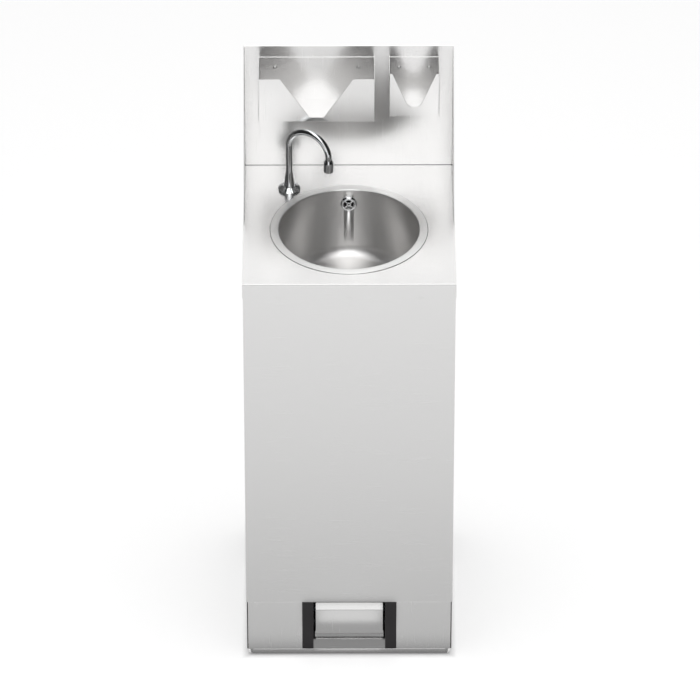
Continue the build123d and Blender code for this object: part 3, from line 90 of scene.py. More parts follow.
def new_finish(name, colour, roughness, metallic=0.0):
    """A material with its shader's plain values set, ready for its pattern's nodes."""
    finish = bpy.data.materials.new(name)
    finish.use_nodes = True
    shader = finish.node_tree.nodes["Principled BSDF"]
    shader.inputs["Base Color"].default_value = linear(colour)
    shader.inputs["Roughness"].default_value = roughness
    shader.inputs["Metallic"].default_value = metallic
    return finish, finish.node_tree, shader


def grained(finish, grain, rough_low, rough_high, bump, shade=None):
    """Grain that swings a finish's roughness, raises it by a height in metres and shades it a little."""
    tree = finish.node_tree
    shader = tree.nodes["Principled BSDF"]
    place = add_node(tree, "ShaderNodeTexCoord")
    spread = add_node(tree, "ShaderNodeMapping", {"Scale": [1 / length for length in grain]},
                      {"Vector": place.outputs["Object"]})
    noise = add_node(tree, "ShaderNodeTexNoise", {"Scale": 1.0, "Detail": 3.0, "Roughness": 0.6},
                     {"Vector": spread.outputs["Vector"]})
    swing = add_node(tree, "ShaderNodeMapRange",
                     {"From Min": 0.3, "From Max": 0.7, "To Min": rough_low, "To Max": rough_high},
                     {"Value": noise.outputs["Fac"]})
    tree.links.new(swing.outputs["Result"], shader.inputs["Roughness"])
    height = add_node(tree, "ShaderNodeBump", {"Strength": 1.0, "Distance": bump},
                      {"Height": noise.outputs["Fac"]})
    tree.links.new(height.outputs["Normal"], shader.inputs["Normal"])
    if shade:
        tint = add_node(tree, "ShaderNodeMix",
                        {"A": linear(shade[0]), "B": linear(shade[1])},
                        {"Factor": noise.outputs["Fac"]}, data_type="RGBA")
        tree.links.new(tint.outputs["Result"], shader.inputs["Base Color"])
    return height


def smooth_by_angle(shape, angle):
    """Smooth faces, with each edge that turns by more than the angle kept crisp."""
    for face in shape.faces:
        face.smooth = True
    for edge in shape.edges:
        edge.smooth = len(edge.link_faces) == 2 and edge.calc_face_angle(math.pi) < angle


def stand_for(piece, finish, *nodes):
    """The piece takes the finish, rides where its CAD nodes do and stands for them, which are hidden."""
    piece.data.materials.clear()
    piece.data.materials.append(finish)
    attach(piece, frame["nodes"][nodes[0]]["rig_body"])
    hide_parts(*nodes)
    return piece


def eased(name, node, finish, ease):
    """A CAD node's copy: triangles merged into whole faces, and its sharp edges rounded off."""
    shape = bmesh.new()
    shape.from_mesh(frame["nodes"][node].data)
    bmesh.ops.remove_doubles(shape, verts=shape.verts, dist=2e-6)
    bmesh.ops.dissolve_limit(shape, angle_limit=math.radians(0.5), verts=shape.verts,
                             edges=shape.edges)
    smooth_by_angle(shape, math.radians(35))
    mesh = bpy.data.meshes.new(name)
    shape.to_mesh(mesh)
    shape.free()
    piece = bpy.data.objects.new(name, mesh)
    bpy.context.scene.collection.objects.link(piece)
    bevel = piece.modifiers.new("ease", "BEVEL")
    bevel.width = ease
    bevel.segments = 2
    bevel.limit_method = "ANGLE"
    bevel.angle_limit = math.radians(40)
    bevel.use_clamp_overlap = True
    weight = piece.modifiers.new("flat_faces", "WEIGHTED_NORMAL")
    weight.keep_sharp = True
    bake_modifiers(piece)
    return stand_for(piece, finish, node)


def bake_modifiers(piece):
    """Turns the evaluated piece into a plain mesh and takes its modifiers off."""
    graph = bpy.context.evaluated_depsgraph_get()
    mesh = bpy.data.meshes.new_from_object(piece.evaluated_get(graph), depsgraph=graph)
    piece.modifiers.clear()
    mesh.name = piece.name
    piece.data = mesh


MOULDED_GRAIN = 0.0024          # real spark grain is 0.3 mm, drawn coarser so that it shows
moulded_polypropylene, tree, shader = new_finish("moulded_polypropylene", "#2f2c2e", 0.5)
grained(moulded_polypropylene, (MOULDED_GRAIN,) * 3, 0.42, 0.58, 0.00006, ("#2a2729", "#353234"))
eased("plinth_moulding", "plinth_housing", moulded_polypropylene, 0.0008)


# Base tray: the pressed stainless pan under the plinth, with a turned lip and rounded front corners.
# Satin No. 4 finish: a fine directional polish that blurs reflections along one way.

GRAIN_WIDTH = 0.0011            # real polishing lines are 0.1 mm apart, drawn coarser so that they show
GRAIN_LENGTH = 0.09
SHEET_WAVE = 0.16               # length of the slow waves that rolling leaves in thin sheet


def satin_steel(name, grain, rough_low, rough_high, dark, pale):
    """Polished stainless sheet: grain lines, a slow wave of the sheet and a faint change of tone."""
    finish, tree, shader = new_finish(name, pale, rough_low, 1.0)
    lines = grained(finish, grain, rough_low, rough_high, 0.00000015, (dark, pale))
    place = add_node(tree, "ShaderNodeTexCoord")
    wave = add_node(tree, "ShaderNodeTexNoise", {"Scale": 1 / SHEET_WAVE, "Detail": 1.0},
                    {"Vector": place.outputs["Object"]})
    bow = add_node(tree, "ShaderNodeBump", {"Strength": 1.0, "Distance": 0.0003},
                   {"Height": wave.outputs["Fac"], "Normal": lines.outputs["Normal"]})
    tree.links.new(bow.outputs["Normal"], shader.inputs["Normal"])
    return finish


satin_stainless = satin_steel("satin_stainless", (GRAIN_LENGTH, GRAIN_WIDTH, GRAIN_WIDTH),
                              0.255, 0.275, "#efefee", "#f2f1f1")
upright_stainless = satin_steel("upright_stainless", (GRAIN_WIDTH, GRAIN_WIDTH, GRAIN_LENGTH),
                                0.255, 0.275, "#efefee", "#f2f1f1")
eased("base_tray_pressing", "base_tray", satin_stainless, 0.0004)


# Front feet: two rubber feet under the tray, turned with a bevel and two grip rings.
# Moulded nitrile rubber, matt black, with a bloom that greys it slightly.

TURN_STEPS = 96


def turned(name, outlines, centre, axis, steps=TURN_STEPS):
    """One mesh of closed outlines turned about an axis; a third value of 6 makes a point's ring six-sided.

    Points are (radius, height) along the axis, and radius 0 is a pole. The UV map runs round in u.
    """
    along = Vector(axis).normalized()
    across = along.orthogonal().normalized()
    up = along.cross(across)
    shape = bmesh.new()
    uv = shape.loops.layers.uv.new("UVMap")
    for outline in outlines:
        rings = []
        travelled = [0.0]
        for first, second in zip(outline, outline[1:]):
            step = math.hypot(second[0] - first[0], second[1] - first[1])
            travelled.append(travelled[-1] + step)
        for point in outline:
            if point[0] < 1e-7:
                rings.append([shape.verts.new(Vector(centre) + along * point[1])])
                continue
            ring = []
            for index in range(steps):
                turn = 2 * math.pi * index / steps
                radius = point[0]
                if len(point) > 2:
                    radius /= math.cos(turn % (math.pi / 3) - math.pi / 6)
                spot = across * (radius * math.cos(turn)) + up * (radius * math.sin(turn))
                ring.append(shape.verts.new(Vector(centre) + spot + along * point[1]))
            rings.append(ring)
        closed = len(rings[0]) > 1
        pairs = list(zip(range(len(rings)), list(range(1, len(rings))) + ([0] if closed else [])))
        for low, high in pairs:
            v_low = travelled[low]
            v_high = travelled[high] if high else travelled[-1] + 0.001
            for index in range(steps):
                after = (index + 1) % steps
                corners = [(rings[low], index, v_low), (rings[low], after, v_low),
                           (rings[high], after, v_high), (rings[high], index, v_high)]
                kept = []
                for ring, spot, v in corners:
                    vert = ring[spot % len(ring)]
                    if vert not in [other[0] for other in kept]:
                        kept.append((vert, spot, v))
                if len(kept) < 3:
                    continue
                face = shape.faces.new([vert for vert, spot, v in kept])
                for loop, (vert, spot, v) in zip(face.loops, kept):
                    turn = spot if spot or index < steps - 1 else steps
                    loop[uv].uv = (turn / steps, v)
    bmesh.ops.recalc_face_normals(shape, faces=shape.faces)
    smooth_by_angle(shape, math.radians(32))
    mesh = bpy.data.meshes.new(name)
    shape.to_mesh(mesh)
    shape.free()
    piece = bpy.data.objects.new(name, mesh)
    bpy.context.scene.collection.objects.link(piece)
    return piece


def rounded(corners, steps=5):
    """An outline whose corners (radius, height, round) become arcs."""
    outline = []
    count = len(corners)
    for index, (x, y, size) in enumerate(corners):
        here = Vector((x, y))
        before = Vector(corners[index - 1][:2]) - here
        after = Vector(corners[(index + 1) % count][:2]) - here
        if not size:
            outline.append((x, y))
            continue
        half = before.angle(after) / 2
        reach = size / math.tan(half)
        middle = here + (before.normalized() + after.normalized()).normalized() * (size / math.sin(half))
        start = here + before.normalized() * reach - middle
        end = here + after.normalized() * reach - middle
        for step in range(steps + 1):
            spot = middle + start.slerp(end, step / steps).normalized() * size
            outline.append((spot.x, spot.y))
    return outline


def centre_of(node):
    """The middle of a CAD node's box."""
    low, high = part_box(node)
    return (low + high) / 2


nitrile_rubber, tree, shader = new_finish("nitrile_rubber", "#1d1d1e", 0.7)
grained(nitrile_rubber, (0.0016,) * 3, 0.6, 0.8, 0.00005, ("#191919", "#262627"))

FOOT_BEVEL = 0.0015
FOOT_GROOVE = 0.0008
foot_low, foot_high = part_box("front_feet")
foot_r = (foot_high.y - foot_low.y) / 2
foot_centres = [Vector((x, (foot_low.y + foot_high.y) / 2, 0))
                for x in (foot_low.x + foot_r, foot_high.x - foot_r)]
foot_outline = rounded([
    (0, 0, 0), (foot_r - FOOT_BEVEL, 0, 0.0004), (foot_r, FOOT_BEVEL, 0.0004),
    (foot_r, 0.004, 0.0002), (foot_r - FOOT_GROOVE, 0.0045, 0.0002),
    (foot_r - FOOT_GROOVE, 0.0055, 0.0002), (foot_r, 0.006, 0.0002),
    (foot_r, foot_high.z, 0.0004), (0, foot_high.z, 0),
])


def linked(name, mesh):
    """A new object of the mesh, in the scene."""
    piece = bpy.data.objects.new(name, mesh)
    bpy.context.scene.collection.objects.link(piece)
    return piece


def input_of(tree, name, kind, default=None):
    """A named input of a node tree."""
    made = tree.interface.new_socket(name, in_out="INPUT", socket_type=kind)
    if default is not None:
        made.default_value = default
    return made


def apply_tree(piece, tree, values):
    """Gives the piece the tree with these inputs and turns the result into a plain mesh."""
    modifier = piece.modifiers.new(tree.name, "NODES")
    modifier.node_group = tree
    for item in tree.interface.items_tree:
        if item.in_out == "INPUT" and item.name in values:
            modifier[item.identifier] = values[item.name]
    bake_modifiers(piece)


# Repeats the piece's own mesh in rows: Count along Step, Rows along Row Step.
repeat_rows = bpy.data.node_groups.new("repeat_rows", "GeometryNodeTree")
input_of(repeat_rows, "Geometry", "NodeSocketGeometry")
input_of(repeat_rows, "Count", "NodeSocketInt", 2)
input_of(repeat_rows, "Step", "NodeSocketVector")
input_of(repeat_rows, "Rows", "NodeSocketInt", 1)
input_of(repeat_rows, "Row Step", "NodeSocketVector")
input_of(repeat_rows, "Finish", "NodeSocketMaterial")
repeat_rows.interface.new_socket("Geometry", in_out="OUTPUT", socket_type="NodeSocketGeometry")
given = add_node(repeat_rows, "NodeGroupInput")
row = add_node(repeat_rows, "GeometryNodeMeshLine", None,
               {"Count": given.outputs["Count"], "Offset": given.outputs["Step"]})
rows = add_node(repeat_rows, "GeometryNodeMeshLine", None,
                {"Count": given.outputs["Rows"], "Offset": given.outputs["Row Step"]})
in_row = add_node(repeat_rows, "GeometryNodeInstanceOnPoints", None,
                  {"Points": row.outputs["Mesh"], "Instance": given.outputs["Geometry"]})
in_rows = add_node(repeat_rows, "GeometryNodeInstanceOnPoints", None,
                   {"Points": rows.outputs["Mesh"], "Instance": in_row.outputs["Instances"]})
solid = add_node(repeat_rows, "GeometryNodeRealizeInstances", None,
                 {"Geometry": in_rows.outputs["Instances"]})
coated = add_node(repeat_rows, "GeometryNodeSetMaterial", None,
                  {"Geometry": solid.outputs["Geometry"], "Material": given.outputs["Finish"]})
add_node(repeat_rows, "NodeGroupOutput", None, {"Geometry": coated.outputs["Geometry"]})

feet = turned("rubber_feet", [foot_outline], foot_centres[0], (0, 0, 1), 64)
apply_tree(feet, repeat_rows, {"Count": 2, "Step": foot_centres[1] - foot_centres[0],
                               "Finish": nitrile_rubber})
stand_for(feet, nitrile_rubber, "front_feet")


# Wheels: two 100 mm transport wheels, a rubber tyre with three grooves on a ribbed nylon hub,
# on one steel axle with pressed caps. Tilting the station back by its handle sets it on them.

TYRE_GROOVE = 0.0016
TYRE_GROOVE_WIDTH = 0.0022
TYRE_GROOVE_PITCH = 0.0062
TYRE_ROUND = 0.006
TYRE_DEEP = 0.012

tyre_rubber, tree, shader = new_finish("tyre_rubber", "#232324", 0.65)
grained(tyre_rubber, (0.0018,) * 3, 0.55, 0.75, 0.00006, ("#1d1d1e", "#2d2d2e"))
glass_filled_nylon, tree, shader = new_finish("glass_filled_nylon", "#4b4b4e", 0.45)
grained(glass_filled_nylon, (0.0015,) * 3, 0.38, 0.52, 0.00004, ("#454548", "#525255"))
zinc_plated_steel, tree, shader = new_finish("zinc_plated_steel", "#b9bcc0", 0.32, 1.0)
grained(zinc_plated_steel, (0.012,) * 3, 0.26, 0.42, 0.000004, ("#abafb5", "#c3c4c3"))

for side in ("left", "right"):
    low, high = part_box("tyre_" + side)
    wheel_r = (high.z - low.z) / 2
    half = (high.x - low.x) / 2
    corners = [(wheel_r - TYRE_DEEP, -half, 0.001), (wheel_r - TYRE_DEEP, half, 0.001),
               (wheel_r, half, TYRE_ROUND)]
    for groove in (1, 0, -1):
        middle = groove * TYRE_GROOVE_PITCH
        corners += [(wheel_r, middle + TYRE_GROOVE_WIDTH / 2, 0.0003),
                    (wheel_r - TYRE_GROOVE, middle + TYRE_GROOVE_WIDTH / 2, 0),
                    (wheel_r - TYRE_GROOVE, middle - TYRE_GROOVE_WIDTH / 2, 0),
                    (wheel_r, middle - TYRE_GROOVE_WIDTH / 2, 0.0003)]
    corners.append((wheel_r, -half, TYRE_ROUND))
    tyre = turned("tyre_tread_" + side, [rounded(corners)], (low + high) / 2, (1, 0, 0))
    stand_for(tyre, tyre_rubber, "tyre_" + side)
    eased("hub_moulding_" + side, "wheel_hub_" + side, glass_filled_nylon, 0.0008)
eased("axle_bar", "axle", zinc_plated_steel, 0.0006)
eased("pressed_axle_caps", "axle_caps", zinc_plated_steel, 0.0003)


# Kick plates: two stainless plates on the plinth's front, one each side of the pedal.
# The same satin sheet as the cabinet, cut with clean deburred edges.

SHEET_EASE = 0.00035
for side in ("left", "right"):
    eased("kick_sheet_" + side, "kick_plate_" + side, upright_stainless, SHEET_EASE)


# Foot pedal: one stainless sheet folded to a tread, an apron and two side flanges, on a pivot pin.
# Behind the apron it presses the pump's plunger.

APRON_LONGER = 0.004            # the apron's lower edge, nearer to its slot in the tray
TOE_STEEPER = 0.0055            # the toe's top fold, brought forward of the CAD's 45 degree toe
pedal = eased("pedal_folding", "foot_pedal", upright_stainless, 0.0005)
pedal_low, pedal_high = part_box("foot_pedal")
for vert in pedal.data.vertices:
    if vert.co.z > pedal_high.z - 0.003 and pedal_low.y + 0.01 < vert.co.y < pedal_low.y + 0.016:
        vert.co.y -= TOE_STEEPER
    if vert.co.z < pedal_low.z + 0.002:
        vert.co.z -= APRON_LONGER
eased("pivot_brackets", "pedal_brackets", zinc_plated_steel, 0.0004)
eased("pivot_pin", "pedal_pin", zinc_plated_steel, 0.0005)


# Foot pump: an acetal cylinder with a screwed gland, a plunger with a domed head and a return spring.
# Machined white acetal is waxy and slightly see-through; the spring is drawn carbon-steel wire.

acetal, tree, shader = new_finish("machined_acetal", "#dcdcd6", 0.38)
grained(acetal, (0.02, 0.02, 0.0012), 0.32, 0.46, 0.000008, ("#d2d2cb", "#e1e1dc"))
shader.inputs["Subsurface Weight"].default_value = 0.15
shader.inputs["Subsurface Radius"].default_value = (0.003, 0.003, 0.0026)
spring_wire, tree, shader = new_finish("drawn_spring_wire", "#8e9095", 0.3, 1.0)
grained(spring_wire, (0.004,) * 3, 0.24, 0.4, 0.000004, ("#85878c", "#9a9b9d"))
eased("pump_cylinder", "pump_body", acetal, 0.0005)
eased("pump_gland", "pump_cap", acetal, 0.0005)


def dress(node, finish):
    """A CAD node whose shape is right gets its finish."""
    slots = frame["nodes"][node].material_slots
    for index in range(len(slots)):
        slots[index].link = "DATA"
        slots[index].material = finish


dress("pump_plunger", acetal)


# Cabinet: side panels, the front brace behind the rivets and the cabinet floor with its door sill.
# Folded from satin stainless sheet and spot-welded.

eased("side_sheet_left", "side_panel_left", upright_stainless, SHEET_EASE)
eased("side_sheet_right", "side_panel_right", upright_stainless, SHEET_EASE)
eased("brace_angle", "front_brace", satin_stainless, SHEET_EASE)
eased("floor_pan", "cabinet_floor", satin_stainless, SHEET_EASE)


# Tanks: a fresh and a waste tank of blow-moulded natural polythene, side by side on the cabinet floor.
# The wall is milky and lets light through; blue cap for fresh water, grey for waste.

natural_polythene, tree, shader = new_finish("natural_polythene", "#e6e6e0", 0.38)
grained(natural_polythene, (0.03, 0.03, 0.06), 0.3, 0.48, 0.00025, ("#dededa", "#ecece7"))
shader.inputs["Subsurface Weight"].default_value = 0.6
shader.inputs["Subsurface Radius"].default_value = (0.012, 0.012, 0.011)
shader.inputs["Transmission Weight"].default_value = 0.25
blue_polypropylene, tree, shader = new_finish("blue_polypropylene", "#27629e", 0.4)
grained(blue_polypropylene, (0.002,) * 3, 0.34, 0.48, 0.00004, ("#235b95", "#2d6aa8"))
grey_polypropylene, tree, shader = new_finish("grey_polypropylene", "#75787a", 0.4)
grained(grey_polypropylene, (0.002,) * 3, 0.34, 0.48, 0.00004, ("#6e7173", "#7e8183"))
dress("fresh_tank", natural_polythene)
dress("waste_tank", natural_polythene)
eased("fresh_cap", "fresh_tank_cap", blue_polypropylene, 0.0004)
eased("waste_cap", "waste_tank_cap", grey_polypropylene, 0.0004)
dress("dip_tube", natural_polythene)


# Waste and overflow fittings: brass and plastic pieces under the bowl.
# Injection-moulded black plastic body and elbow, and a rubber gasket.

dress("waste_gasket", nitrile_rubber)
dress("waste_body", moulded_polypropylene)
dress("overflow_elbow", moulded_polypropylene)


# Hoses: two water hoses at the pump, and a corrugated hose each for the waste and the overflow.
# Extruded flexible plastic, matt where it is ribbed, held at both ends by worm-drive clips.

# A tube along a route: Radius and, for a corrugated hose, the Rib's height and its Pitch.
tube_along = bpy.data.node_groups.new("tube_along", "GeometryNodeTree")
input_of(tube_along, "Geometry", "NodeSocketGeometry")
input_of(tube_along, "Route", "NodeSocketObject")
input_of(tube_along, "Radius", "NodeSocketFloat", 0.006)
input_of(tube_along, "Rib", "NodeSocketFloat", 0.0)
input_of(tube_along, "Pitch", "NodeSocketFloat", 0.005)
input_of(tube_along, "Step", "NodeSocketFloat", 0.005)
input_of(tube_along, "Sides", "NodeSocketInt", 24)
input_of(tube_along, "Finish", "NodeSocketMaterial")
tube_along.interface.new_socket("Geometry", in_out="OUTPUT", socket_type="NodeSocketGeometry")
given = add_node(tube_along, "NodeGroupInput")
route = add_node(tube_along, "GeometryNodeObjectInfo", None, {"Object": given.outputs["Route"]})
spaced = add_node(tube_along, "GeometryNodeResampleCurve", None,
                  {"Curve": route.outputs["Geometry"], "Length": given.outputs["Step"]},
                  mode="LENGTH")
reach = add_node(tube_along, "GeometryNodeSplineParameter")
turns = add_node(tube_along, "ShaderNodeMath", None,
                 {0: reach.outputs["Length"], 1: given.outputs["Pitch"]}, operation="DIVIDE")
angle = add_node(tube_along, "ShaderNodeMath", {1: 2 * math.pi}, {0: turns.outputs[0]},
                 operation="MULTIPLY")
wave = add_node(tube_along, "ShaderNodeMath", None, {0: angle.outputs[0]}, operation="COSINE")
swell = add_node(tube_along, "ShaderNodeMath", {2: 1.0},
                 {0: wave.outputs[0], 1: given.outputs["Rib"]}, operation="MULTIPLY_ADD")
ribbed = add_node(tube_along, "GeometryNodeSetCurveRadius", None,
                  {"Curve": spaced.outputs["Curve"], "Radius": swell.outputs[0]})
ring = add_node(tube_along, "GeometryNodeCurvePrimitiveCircle", None,
                {"Resolution": given.outputs["Sides"], "Radius": given.outputs["Radius"]})
walled = add_node(tube_along, "GeometryNodeCurveToMesh", {"Fill Caps": True},
                  {"Curve": ribbed.outputs["Curve"], "Profile Curve": ring.outputs["Curve"]})
smooth = add_node(tube_along, "GeometryNodeSetShadeSmooth", None,
                  {"Geometry": walled.outputs["Mesh"]})
solid = add_node(tube_along, "GeometryNodeRealizeInstances", None,
                 {"Geometry": smooth.outputs["Geometry"]})
coated = add_node(tube_along, "GeometryNodeSetMaterial", None,
                  {"Geometry": solid.outputs["Geometry"], "Material": given.outputs["Finish"]})
add_node(tube_along, "NodeGroupOutput", None, {"Geometry": coated.outputs["Geometry"]})


def piped(name, kind, points, finish, **sizes):
    """A tube along a NURBS or straight-run route of points in metres."""
    curve = bpy.data.curves.new(name + "_route", "CURVE")
    curve.dimensions = "3D"
    spline = curve.splines.new(kind)
    spline.points.add(len(points) - 1)
    for spot, place in zip(spline.points, points):
        spot.co = (*place, 1)
    if kind == "NURBS":
        spline.order_u = 3
        spline.use_endpoint_u = True
        spline.resolution_u = 16
    route = linked(name + "_route", curve)
    piece = linked(name, bpy.data.meshes.new(name))
    apply_tree(piece, tube_along, {"Route": route, "Finish": finish,
                                   **{word.capitalize(): size for word, size in sizes.items()}})
    bpy.data.objects.remove(route)
    return piece


# The pump's return spring is wound from the same tree: five open turns between two closed ends.
SPRING_WIRE_R = 0.0009
SPRING_TURNS = 5
spring_low, spring_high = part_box("pump_spring")
spring_r = (spring_high.x - spring_low.x) / 2 - SPRING_WIRE_R
spring_middle = (spring_low + spring_high) / 2
closed = 2 * SPRING_WIRE_R
open_height = spring_high.z - spring_low.z - 2 * SPRING_WIRE_R - 2 * closed
coil = []
for index in range((SPRING_TURNS + 2) * 32 + 1):
    turn = index / 32
    rise = closed * min(turn, 1) + open_height * min(max(turn - 1, 0), SPRING_TURNS) / SPRING_TURNS
    rise += closed * max(turn - 1 - SPRING_TURNS, 0)
    coil.append((spring_middle.x + spring_r * math.cos(2 * math.pi * turn),
                 spring_middle.y + spring_r * math.sin(2 * math.pi * turn),
                 spring_low.z + SPRING_WIRE_R + rise))
spring = piped("return_spring", "POLY", coil, spring_wire, radius=SPRING_WIRE_R, step=0.0015, sides=12)
stand_for(spring, spring_wire, "pump_spring")
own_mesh(spring)

WATER_HOSE_R = 0.006
WASTE_HOSE_R = 0.017
OVERFLOW_HOSE_R = 0.010
SUCTION_ROUTE = ((0.032, -0.1191, 0.029), (0.105, -0.1191, 0.029), (0.150, -0.1691, 0.075),
                 (0.150, -0.1691, 0.4902), (0.132, -0.1311, 0.5452), (0.110, -0.0861, 0.5452),
                 (0.098, -0.0611, 0.5002), (0.098, -0.0611, 0.4522))
SUPPLY_ROUTE = ((-0.032, -0.1191, 0.029), (-0.105, -0.1191, 0.029), (-0.150, -0.1691, 0.075),
                (-0.150, -0.1691, 0.620), (-0.170, -0.1011, 0.690), (-0.170, -0.0011, 0.740),
                (-0.150, 0.0689, 0.760), (-0.114, 0.0899, 0.800), (-0.114, 0.0899, 0.840))
waste_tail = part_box("waste_hose")[1].z
WASTE_ROUTE = ((0, -0.0471, waste_tail), (0, -0.0471, waste_tail - 0.055),
               (-0.098, -0.0611, 0.5282), (-0.098, -0.0611, 0.4522))
OVERFLOW_ROUTE = ((0, 0.11224, 0.828), (0, 0.11224, 0.780), (0, 0.09924, 0.723),
                  (0, 0.0449, 0.705), (0, -0.0131, 0.705))

water_hose_vinyl, tree, shader = new_finish("water_hose_vinyl", "#a9b4bb", 0.35)
grained(water_hose_vinyl, (0.004,) * 3, 0.28, 0.42, 0.00004, ("#9daab2", "#b3bdc2"))
waste_hose_polythene, tree, shader = new_finish("waste_hose_polythene", "#5c5e60", 0.45)
grained(waste_hose_polythene, (0.003,) * 3, 0.4, 0.55, 0.00005, ("#555759", "#646668"))
suction = piped("suction_line", "NURBS", SUCTION_ROUTE, water_hose_vinyl, radius=WATER_HOSE_R)
stand_for(suction, water_hose_vinyl, "suction_hose")
supply = piped("supply_line", "NURBS", SUPPLY_ROUTE, water_hose_vinyl, radius=WATER_HOSE_R)
stand_for(supply, water_hose_vinyl, "supply_hose")
waste = piped("corrugated_waste_line", "NURBS", WASTE_ROUTE, waste_hose_polythene,
              radius=WASTE_HOSE_R * 0.96, rib=0.04, pitch=0.006, step=0.001)
stand_for(waste, waste_hose_polythene, "waste_hose")
overflow = piped("corrugated_overflow_line", "NURBS", OVERFLOW_ROUTE, waste_hose_polythene,
                 radius=OVERFLOW_HOSE_R * 0.95, rib=0.05, pitch=0.004, step=0.0007)
stand_for(overflow, waste_hose_polythene, "overflow_hose")
dress("hose_clips", zinc_plated_steel)


# Worktop and front: one stainless sheet folded over the front edge, with side downstands.
# Three flat-headed rivets hold the front to the brace behind it.

FOLD_STRIP = 0.0018             # outside of the fold, whose base colour is darkened: painted shade over the bend's highlight
FOLD_BLEND = 0.0008
worktop_stainless = satin_steel("worktop_stainless", (GRAIN_LENGTH, GRAIN_WIDTH, GRAIN_WIDTH),
                                0.255, 0.275, "#efefee", "#f2f1f1")
tree = worktop_stainless.node_tree
shader = tree.nodes["Principled BSDF"]
top_low, top_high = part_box("worktop_and_front")
place = add_node(tree, "ShaderNodeTexCoord")
parts = add_node(tree, "ShaderNodeSeparateXYZ", None, {0: place.outputs["Object"]})
near_top = add_node(tree, "ShaderNodeMapRange",
                    {"From Min": top_high.z - FOLD_STRIP - FOLD_BLEND, "From Max": top_high.z - FOLD_STRIP},
                    {"Value": parts.outputs["Z"]})
near_front = add_node(tree, "ShaderNodeMapRange",
                      {"From Min": top_low.y + FOLD_STRIP + FOLD_BLEND, "From Max": top_low.y + FOLD_STRIP},
                      {"Value": parts.outputs["Y"]})
# The strip along the outside of the fold gets a darker base colour: painted shade, so the bend shows no bright
# line.
fold = add_node(tree, "ShaderNodeMath", None,
                {0: near_top.outputs["Result"], 1: near_front.outputs["Result"]}, operation="MULTIPLY")
painted_fold_shade = add_node(tree, "ShaderNodeMix", {"B": linear("#c6c6c5")},
                  {"A": shader.inputs["Base Color"].links[0].from_socket, "Factor": fold.outputs["Value"]},
                  data_type="RGBA")
tree.links.new(painted_fold_shade.outputs["Result"], shader.inputs["Base Color"])
eased("worktop_folding", "worktop_and_front", worktop_stainless, SHEET_EASE)

low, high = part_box("front_rivets")
head_r = (high.z - low.z) / 2
rivet_pitch = (high.x - low.x - 2 * head_r) / 2
RIVET_PROUD = 0.0005
rivet = turned("front_rivet_heads",
               [rounded([(0, 0, 0), (0.0016, 0, 0), (0.0016, high.y - low.y - RIVET_PROUD, 0),
                         (head_r, high.y - low.y - RIVET_PROUD, 0),
                         (head_r, high.y - low.y, 0.0004), (0, high.y - low.y, 0)])],
               (low.x + head_r, high.y, (low.z + high.z) / 2), (0, -1, 0), 48)
apply_tree(rivet, repeat_rows, {"Count": 3, "Step": Vector((rivet_pitch, 0, 0)),
                                "Finish": satin_stainless})
stand_for(rivet, satin_stainless, "front_rivets")


# Bowl: spun from 1 mm stainless and set in the worktop on its flat rim.
# Spinning leaves fine rings, so highlights stretch across them.

BOWL_SHEET = 0.001
BOWL_R = 0.133
BOWL_FOOT_R = 0.130
BOWL_RIM_ROUND = 0.0022
BOWL_FLOOR_ROUND = 0.022
WASTE_HOLE_R = 0.021
OVERFLOW_HOLE_R = 0.0095
SPIN_RING = 0.0007              # real spinning lines are 0.2 mm apart, drawn coarser so that they show

bowl_low, bowl_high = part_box("bowl")
flange_r = (bowl_high.x - bowl_low.x) / 2
bowl_centre = Vector(((bowl_low.x + bowl_high.x) / 2, (bowl_low.y + bowl_high.y) / 2, 0))
bowl_top = bowl_high.z
bowl_floor = bowl_low.z + BOWL_SHEET
bowl_outline = rounded([
    (flange_r, bowl_top - BOWL_SHEET, 0.0002), (flange_r, bowl_top, 0.0006),
    (BOWL_R, bowl_top, BOWL_RIM_ROUND), (BOWL_FOOT_R, bowl_floor, BOWL_FLOOR_ROUND),
    (WASTE_HOLE_R, bowl_floor, 0), (WASTE_HOLE_R, bowl_floor - BOWL_SHEET, 0),
    (BOWL_FOOT_R + BOWL_SHEET, bowl_floor - BOWL_SHEET, BOWL_FLOOR_ROUND + BOWL_SHEET),
    (BOWL_R + BOWL_SHEET, bowl_top - BOWL_SHEET, BOWL_RIM_ROUND - BOWL_SHEET),
], 10)
bowl = turned("spun_bowl", [bowl_outline], bowl_centre, (0, 0, 1), 256)
rosette_low, rosette_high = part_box("overflow_rosette")
rosette_z = (rosette_low.z + rosette_high.z) / 2
wall_slope = (BOWL_R - BOWL_FOOT_R) / (bowl_top - bowl_floor)
wall_y = bowl_centre.y + BOWL_R - wall_slope * (bowl_top - rosette_z)
wall_facing = Vector((0, -1, wall_slope)).normalized()
rosette_place = Vector((bowl_centre.x, wall_y, rosette_z))
cutter = turned("overflow_cutter", [[(0, 0), (OVERFLOW_HOLE_R, 0), (OVERFLOW_HOLE_R, 0.06), (0, 0.06)]],
                rosette_place + wall_facing * 0.03, -wall_facing, 48)
cut = bowl.modifiers.new("overflow_hole", "BOOLEAN")
cut.object = cutter
cut.solver = "EXACT"
bake_modifiers(bowl)
bpy.data.objects.remove(cutter)

